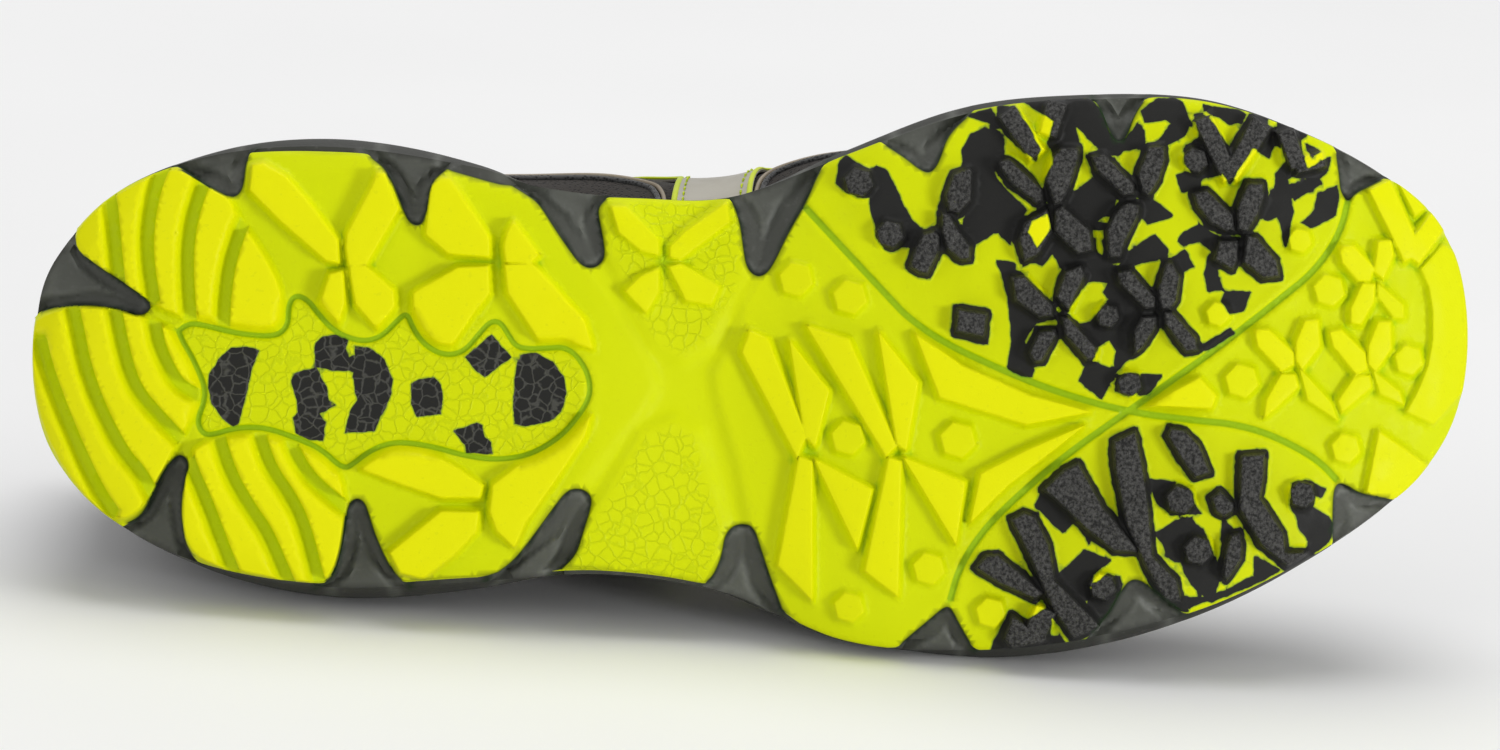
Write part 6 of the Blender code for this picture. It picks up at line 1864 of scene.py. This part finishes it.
def eyestay_low(station):
    past = np.maximum(0.0, station - THROAT_FRONT) / (EYESTAY_END - THROAT_FRONT)
    return EYESTAY_LOW + 0.22 * np.minimum(1.0, past) ** 2


def level_at(value):
    return lambda station: np.full(np.shape(station), float(value))


def overlays():
    """Toe bumper, heel cup, eyestay and the two side panels."""
    turns = turns_between(TOE_CAP_START, 1.0, 60)
    run = [("inner", turns), ("outer", turns[::-1][1:])]
    film("toe_bumper", "toe_cap", [run], level_at(OVERLAY_LOW), toe_height)
    turns = turns_between(0.0, COUNTER_END, 60)
    run = [("outer", turns[::-1][:-1]), ("inner", turns)]
    film("heel_cup", "heel_counter", [run], level_at(OVERLAY_LOW), counter_height)
    turns = turns_between(COLLAR_FRONT, EYESTAY_END, 90)
    runs = [[("inner", turns)], [("outer", turns[::-1])]]
    film("eyestay_film", "eyestay", runs, eyestay_low, level_at(1.0))
    for side in SIDES:
        strap(side)


def circle(count):
    """Cosine and sine of even steps round a circle."""
    angles = [2 * math.pi * k / count for k in range(count)]
    return [(math.cos(angle), math.sin(angle)) for angle in angles]


def add_tube(points, faces, rings):
    """Adds a closed tube over rings of points, all of the same count."""
    base, ring = len(points), len(rings[0])
    last = base + (len(rings) - 1) * ring
    for row in rings:
        points += row
    for start in range(base, last, ring):
        for k in range(ring):
            a, b = start + k, start + (k + 1) % ring
            faces.append((a, b, b + ring, a + ring))
    faces.append(tuple(base + k for k in range(ring)))
    faces.append(tuple(last + k for k in range(ring))[::-1])


def along_line(line, along, place):
    return np.array([np.interp(place, along, line[:, axis]) for axis in range(3)])


def stitched(name, paths, finish):
    """Raised stitches along paths of points with their upward directions."""
    points, faces = [], []
    for line, ups in paths:
        steps = np.linalg.norm(np.diff(line, axis=0), axis=1)
        along = np.concatenate([[0], np.cumsum(steps)])
        for start in np.arange(STITCH_GAP, along[-1] - STITCH_LENGTH, STITCH_LENGTH + STITCH_GAP):
            places = [along_line(line, along, start + STITCH_LENGTH * row[0]) for row in STITCH_SHAPE]
            run = unit(places[2] - places[0])
            side = unit(np.cross(run, along_line(ups, along, start)))
            up = np.cross(side, run)
            rings = []
            for place, (_, share, rise) in zip(places, STITCH_SHAPE):
                middle = place + up * STITCH_RADIUS * rise
                reach = STITCH_RADIUS * share
                rings.append([middle + (side * u + up * v) * reach for u, v in circle(6)])
            add_tube(points, faces, rings)
    turned_out(add_piece(name, points, faces, finish))


def line_on(side, turns, shares, lift):
    """Line on the upper with the directions out of it."""
    low, high = skin_at(side, turns, shares, lift), skin_at(side, turns, shares, lift + 0.001)
    return low, high - low


def stitching():
    """Stitch rows along the edges of the films."""
    dark, lime = [], []
    toe = turns_between(TOE_CAP_START + STITCH_END, 1.0, 50)
    heel = turns_between(0.0, COUNTER_END - STITCH_END, 50)
    stay = turns_between(COLLAR_FRONT + 0.006, EYESTAY_END - 0.008, 60)
    throat = turns_between(COLLAR_FRONT + 0.006, THROAT_FRONT - 0.008, 60)
    for side in SIDES:
        dark.append(line_on(side, toe, toe_height(station_of(toe)) - STITCH_INSET, FILM_TOP))
        dark.append(line_on(side, heel, counter_height(station_of(heel)) - STITCH_INSET, FILM_TOP))
        dark.append(line_on(side, stay, eyestay_low(station_of(stay)) + STITCH_INSET, FILM_TOP))
        dark.append(line_on(side, throat, np.full(len(throat), 0.972), FILM_TOP))
        shares = np.linspace(0.06, PANEL_HIGH - 0.02, 60)
        back, front = panel_edges(shares)
        for edge, sign in ((back, 1), (front, -1)):
            lime.append(line_on(side, turn_of(edge + sign * 0.0075), shares, FILM_TOP + 0.0001))
    stitched("film_stitching", dark, THREAD_FINISH)
    stitched("panel_stitching", lime, LIME_THREAD)


def band(name, paths, finish, size):
    """Flat rounded bands laid on the upper along paths of side, stations and shares."""
    width, thick, lift = size
    points, faces = [], []
    for side, keys in paths:
        run = resampled(rounded(np.array(keys, float), closed=False, times=3), BAND_STEP, closed=False)
        centre, up = line_on(side, turn_of(run[:, 0]), run[:, 1], lift)
        up = unit(up)
        beside = unit(np.cross(unit(np.gradient(centre, axis=0)), up))
        rings = [
            [c + b * (u * width / 2) + w * (v * thick / 2) for u, v in circle(8)]
            for c, b, w in zip(centre, beside, up)
        ]
        add_tube(points, faces, rings)
    made = add_piece(name, points, faces, finish)
    turned_out(made, SAME_RIM_POINT, 60)


def window_trims():
    """Beige frames with a black cord inside them, and the lime edges of the silver film."""
    frames, cords, edges = [], [], []
    shares = np.linspace(0.035, PANEL_HIGH, 30)
    back, front = panel_edges(shares)
    for side in SIDES:
        for keys in (WINDOW_BACK, WINDOW_FRONT):
            keys = np.array(keys)
            middle = np.array([(keys[0, 0] + keys[-1, 0]) / 2, 0.05])
            frames.append((side, keys))
            cords.append((side, keys + (middle - keys) * np.array([0.045, 0.14])))
        edges.append((side, np.column_stack([back + 0.001, shares])))
        edges.append((side, np.column_stack([front - 0.001, shares])))
    band("window_frames", frames, BEIGE_FINISH, FRAME_SIZE)
    band("window_cords", cords, THREAD_FINISH, CORD_SIZE)
    band("panel_edging", edges, LIME_FINISH, EDGING_SIZE)


def lacing_place(along, across):
    """Place on the sheet that the laces follow."""
    share = np.abs(across)
    middle = np.clip(across / LACING_RIM, -1, 1)
    turn = turn_of(along / LENGTH)
    low, high = upper_points("inner", turn, 1.0), upper_points("outer", turn, 1.0)
    span = np.linalg.norm(high - low, axis=-1)
    level = (low + high) / 2 + (high - low) / 2 * middle[:, None]
    level[:, 2] += TONGUE_CROWN * span * (1 - middle**2)
    row = 1 - (1 - EYELET_ROW) * np.clip((share - LACING_RIM) / (1 - LACING_RIM), 0, 1.6)
    inner, outer = upper_points("inner", turn, row), upper_points("outer", turn, row)
    return np.where((share > LACING_RIM)[:, None], np.where((across < 0)[:, None], inner, outer), level)


def laces():
    """Flat laces crossed over the tongue, through the eyelets, their ends down the top ones."""
    stations = [s * LENGTH for s in EYELET_STATIONS]
    runs = [((stations[0], -1.0), (stations[0], 1.0), 0.0)]
    for index, (low, high) in enumerate(zip(stations, stations[1:])):
        over = 1.0 if index % 2 else -1.0
        runs += [((low, -1.0), (high, 1.0), over), ((low, 1.0), (high, -1.0), -over)]
    points, faces = [], []
    profile = [
        (math.copysign(abs(u) ** 0.5, u) * LACE_WIDTH / 2, v * LACE_THICKNESS / 2) for u, v in circle(10)
    ]
    t = np.linspace(-LACE_OVERSHOOT, 1 + LACE_OVERSHOOT, LACE_RINGS)
    for (start_x, start_y), (end_x, end_y), over in runs:
        along = start_x + (end_x - start_x) * (soft_step(t) * 0.3 + np.clip(t, 0, 1) * 0.7)
        across = start_y + (end_y - start_y) * t
        place = lacing_place(along, across)
        ahead = lacing_place(along + 0.0008, across)
        beside = lacing_place(along, across + 0.02)
        normal = unit(np.cross(ahead - place, beside - place))
        normal[normal[:, 2] < 0] *= -1
        bow = np.exp(-(((t - 0.5) / 0.16) ** 2)) * LACE_BOW * over
        dive = np.clip((np.abs(t - 0.5) - 0.488) / 0.047, 0, 1) ** 1.2 * LACE_DIVE
        centre = place + normal * (LACE_LIFT + bow - dive)[:, None]
        tangent = unit(np.gradient(centre, axis=0))
        side = unit(np.cross(tangent, normal))
        up = np.cross(side, tangent)
        narrow = 1 - 0.52 * np.clip((np.abs(t - 0.5) - 0.44) / 0.07, 0, 1)
        rings = [
            [centre[i] + side[i] * narrow[i] * wide + up[i] * high for wide, high in profile]
            for i in range(LACE_RINGS)
        ]
        add_tube(points, faces, rings)
    turned_out(add_piece("laces", points, faces, WEB_FINISH, "lace"))


def eyelets():
    """Rings of raised film round the lace holes."""
    points, faces = [], []
    around, tube = 20, 8
    for station in EYELET_STATIONS:
        for side in SIDES:
            line, ups = line_on(side, turn_of(np.array([station])), np.array([EYELET_ROW]), FILM_TOP)
            centre, up = line[0], unit(ups[0])
            first = unit(np.cross(up, (1, 0, 0)))
            second = np.cross(up, first)
            base = len(points)
            for u, v in circle(around):
                for out, high in circle(tube):
                    reach = EYELET_RADIUS + EYELET_TUBE * out
                    points.append(centre + (first * u + second * v) * reach + up * EYELET_TUBE * 0.6 * high)
            for i in range(around):
                for k in range(tube):
                    here, ahead = base + i * tube, base + (i + 1) % around * tube
                    after = (k + 1) % tube
                    faces.append((here + k, here + after, ahead + after, ahead + k))
    turned_out(add_piece("eyelet_rings", points, faces, FILM_FINISH))


def inner_at(side, station, share, clearance):
    """Point off the inner face of the upper's wall."""
    turn = turn_of(np.asarray(station, float))
    return skin_at(side, turn, share, -wall_at(np.asarray(station), np.asarray(share)) - clearance)


def tongue_lines():
    """Lines across the tongue's outer face: held under the eyestay, then free above it."""
    rows = []
    vamp = np.linspace(5 / 9, 1, 5)
    wings = np.array([7 / 9, 8 / 9, 1.0])
    for station in np.linspace(TONGUE_END, THROAT_FRONT, 5):
        left = inner_at("inner", np.full(5, station), vamp, VAMP_CLEARANCE)
        right = inner_at("outer", np.full(4, station), vamp[-2::-1], VAMP_CLEARANCE)
        rows.append(np.concatenate([left, right]))
    for station in np.linspace(THROAT_FRONT - 0.02, TONGUE_TOP + 0.004, 22):
        left = inner_at("inner", np.full(3, station), wings, WING_CLEARANCE)
        right = inner_at("outer", np.full(3, station), wings, WING_CLEARANCE)
        span = np.linalg.norm(right[-1] - left[-1])
        grown = min(1.0, (THROAT_FRONT - station) / 0.07)
        u = np.array([-0.5, 0.0, 0.5])[:, None]
        arch = (left[-1] * (1 - u) + right[-1] * (1 + u)) / 2
        arch[:, 2] += (TONGUE_CROWN * span + TONGUE_SWELL) * (1 - u[:, 0] ** 2) * grown
        rows.append(np.concatenate([left, arch, right[::-1]]))
    centre = rows[-1][4]
    half = TONGUE_WIDTH / 2
    u = np.linspace(-1, 1, 9)
    for back, up, width, crown in TONGUE_FREE:
        middle = centre + np.array([back, 0, up]) * TONGUE_RISE
        across = u * half * width
        rows.append(middle + np.column_stack([0 * u, across, -crown * half * width * u * u]))
    return np.array(rows)


def threaded(keys, line, places):
    """Points at the places on a smooth curve through the line's points."""
    return np.stack([curve_through(keys, line[:, axis])(places) for axis in range(3)], -1)


def tongue_pad():
    """Padded tongue from under the vamp to above the top eyelets."""
    rows = tongue_lines()
    keys = np.linspace(0, 1, 9)
    fine = np.linspace(0, 1, TONGUE_ACROSS)
    middle = TONGUE_ACROSS // 2
    wide = np.array([threaded(keys, row, fine) for row in rows])
    steps = np.concatenate([[0], np.cumsum(np.linalg.norm(np.diff(wide[:, middle], axis=0), axis=1))])
    dense = np.linspace(0, steps[-1], TONGUE_ALONG)
    sheet = np.stack([threaded(steps, wide[:, j], dense) for j in range(wide.shape[1])], 1)
    around, along = np.gradient(sheet, axis=1), np.gradient(sheet, axis=0)
    normal = unit(np.cross(around, along))
    if normal[5, middle, 2] < 0:
        normal = -normal
    place = np.abs(fine - 0.5) * 2
    edge = 0.35 + 0.65 * np.sqrt(np.clip(1 - place**4, 0, 1))
    share = dense / dense[-1]
    puff = TONGUE_PUFF * np.sin(math.pi * np.clip((share - 0.72) / 0.26, 0, 1))
    end = 0.5 + 0.5 * np.sqrt(np.clip(1 - np.clip((share - 0.94) / 0.06, 0, 1) ** 2, 0, 1))
    thick = TONGUE_THICKNESS * edge[None] * end[:, None]
    swell = puff[:, None] * edge[None] * (1 - place**2)[None]
    outer = sheet + normal * swell[..., None]
    inner = sheet - normal * thick[..., None]
    count, across = sheet.shape[:2]
    faces = grid_faces(0, count, across)
    made = plate("tongue_pad", outer, inner, faces, LINING_FINISH, "tongue", roll=0.5)


def insole_liner():
    """Sock liner in the footbed, cupped a little at its edge."""
    loop = anticlockwise(bed_loop(CUP_WIDTH + FIT_GAP * 2, BED_TURNS))
    cup = anticlockwise(bed_loop(CUP_WIDTH, BED_TURNS))
    flat, faces = triangulated(loop, [], [], grid_over(loop, INSOLE_STEP))
    bed = rim_surface(flat, cup) + FIT_GAP * 1.5
    edge = np.clip(1 + signed_distance(flat, loop, EDGE_REACH) / (BED_EDGE - CUP_WIDTH), 0, 1)
    outer = np.column_stack([flat, bed + INSOLE_THICKNESS + INSOLE_CUP * edge**2])
    inner = np.column_stack([flat, bed])
    faces = [tuple(face) for face in faces]
    made = plate("insole_liner", outer, inner, faces, INSOLE_FINISH, "insole", roll=0.3)


outsole()
midsole()
upper_shell()
collar_lining()
overlays()
stitching()
window_trims()
insole_liner()
tongue_pad()
eyelets()
laces()


def soft_light(name, position, target, size, power):
    data = bpy.data.lights.new(name, "AREA")
    data.shape = "DISK"
    data.size = size
    data.energy = power
    lamp = bpy.data.objects.new(name, data)
    lamp.location = position
    aim = Vector(target) - Vector(position)
    lamp.rotation_euler = aim.to_track_quat("-Z", "Y").to_euler()
    bpy.context.scene.collection.objects.link(lamp)


def floor():
    mesh = bpy.data.meshes.new("floor")
    corners = [(x * FLOOR_HALF, y * FLOOR_HALF, 0) for x, y in ((-1, -1), (1, -1), (1, 1), (-1, 1))]
    mesh.from_pydata(corners, [], [(0, 1, 2, 3)])
    made = Finish("floor", 0.8, Specular_IOR_Level=0.2)
    grain = made.span(made.noise(4.0, 2.0), 0.3, 0.7)
    mesh.materials.append(made.finish(made.mix(grain, (0.90, 0.90, 0.90), (0.92, 0.92, 0.92))))
    thing = bpy.data.objects.new("floor", mesh)
    bpy.context.scene.collection.objects.link(thing)


def camera():
    """Long lens square on to the tread, toe to the right and inner side up."""
    data = bpy.data.cameras.new("camera")
    data.sensor_width = SENSOR
    data.lens = SENSOR * CAMERA_DISTANCE / VIEW_WIDTH
    data.clip_start, data.clip_end = 0.05, 50
    thing = bpy.data.objects.new("camera", data)
    bpy.context.scene.collection.objects.link(thing)
    turn = PLACE.to_3x3()
    right, up, back = turn @ Vector((1, 0, 0)), turn @ Vector((0, -1, 0)), turn @ Vector((0, 0, -1))
    target = PLACE @ Vector(VIEW_CENTRE)
    facing = Matrix((right, up, back)).transposed().to_4x4()
    thing.matrix_world = Matrix.Translation(target + back * CAMERA_DISTANCE) @ facing
    bpy.context.scene.camera = thing


def world():
    scene = bpy.context.scene
    scene.world = bpy.data.worlds.new("studio")
    scene.world.use_nodes = True
    ground_light = scene.world.node_tree.nodes["Background"]
    ground_light.inputs["Color"].default_value = (1, 1, 1, 1)
    ground_light.inputs["Strength"].default_value = WORLD_STRENGTH
    scene.view_settings.view_transform = "Standard"


floor()
camera()
world()
for light in LIGHTS:
    soft_light(*light)
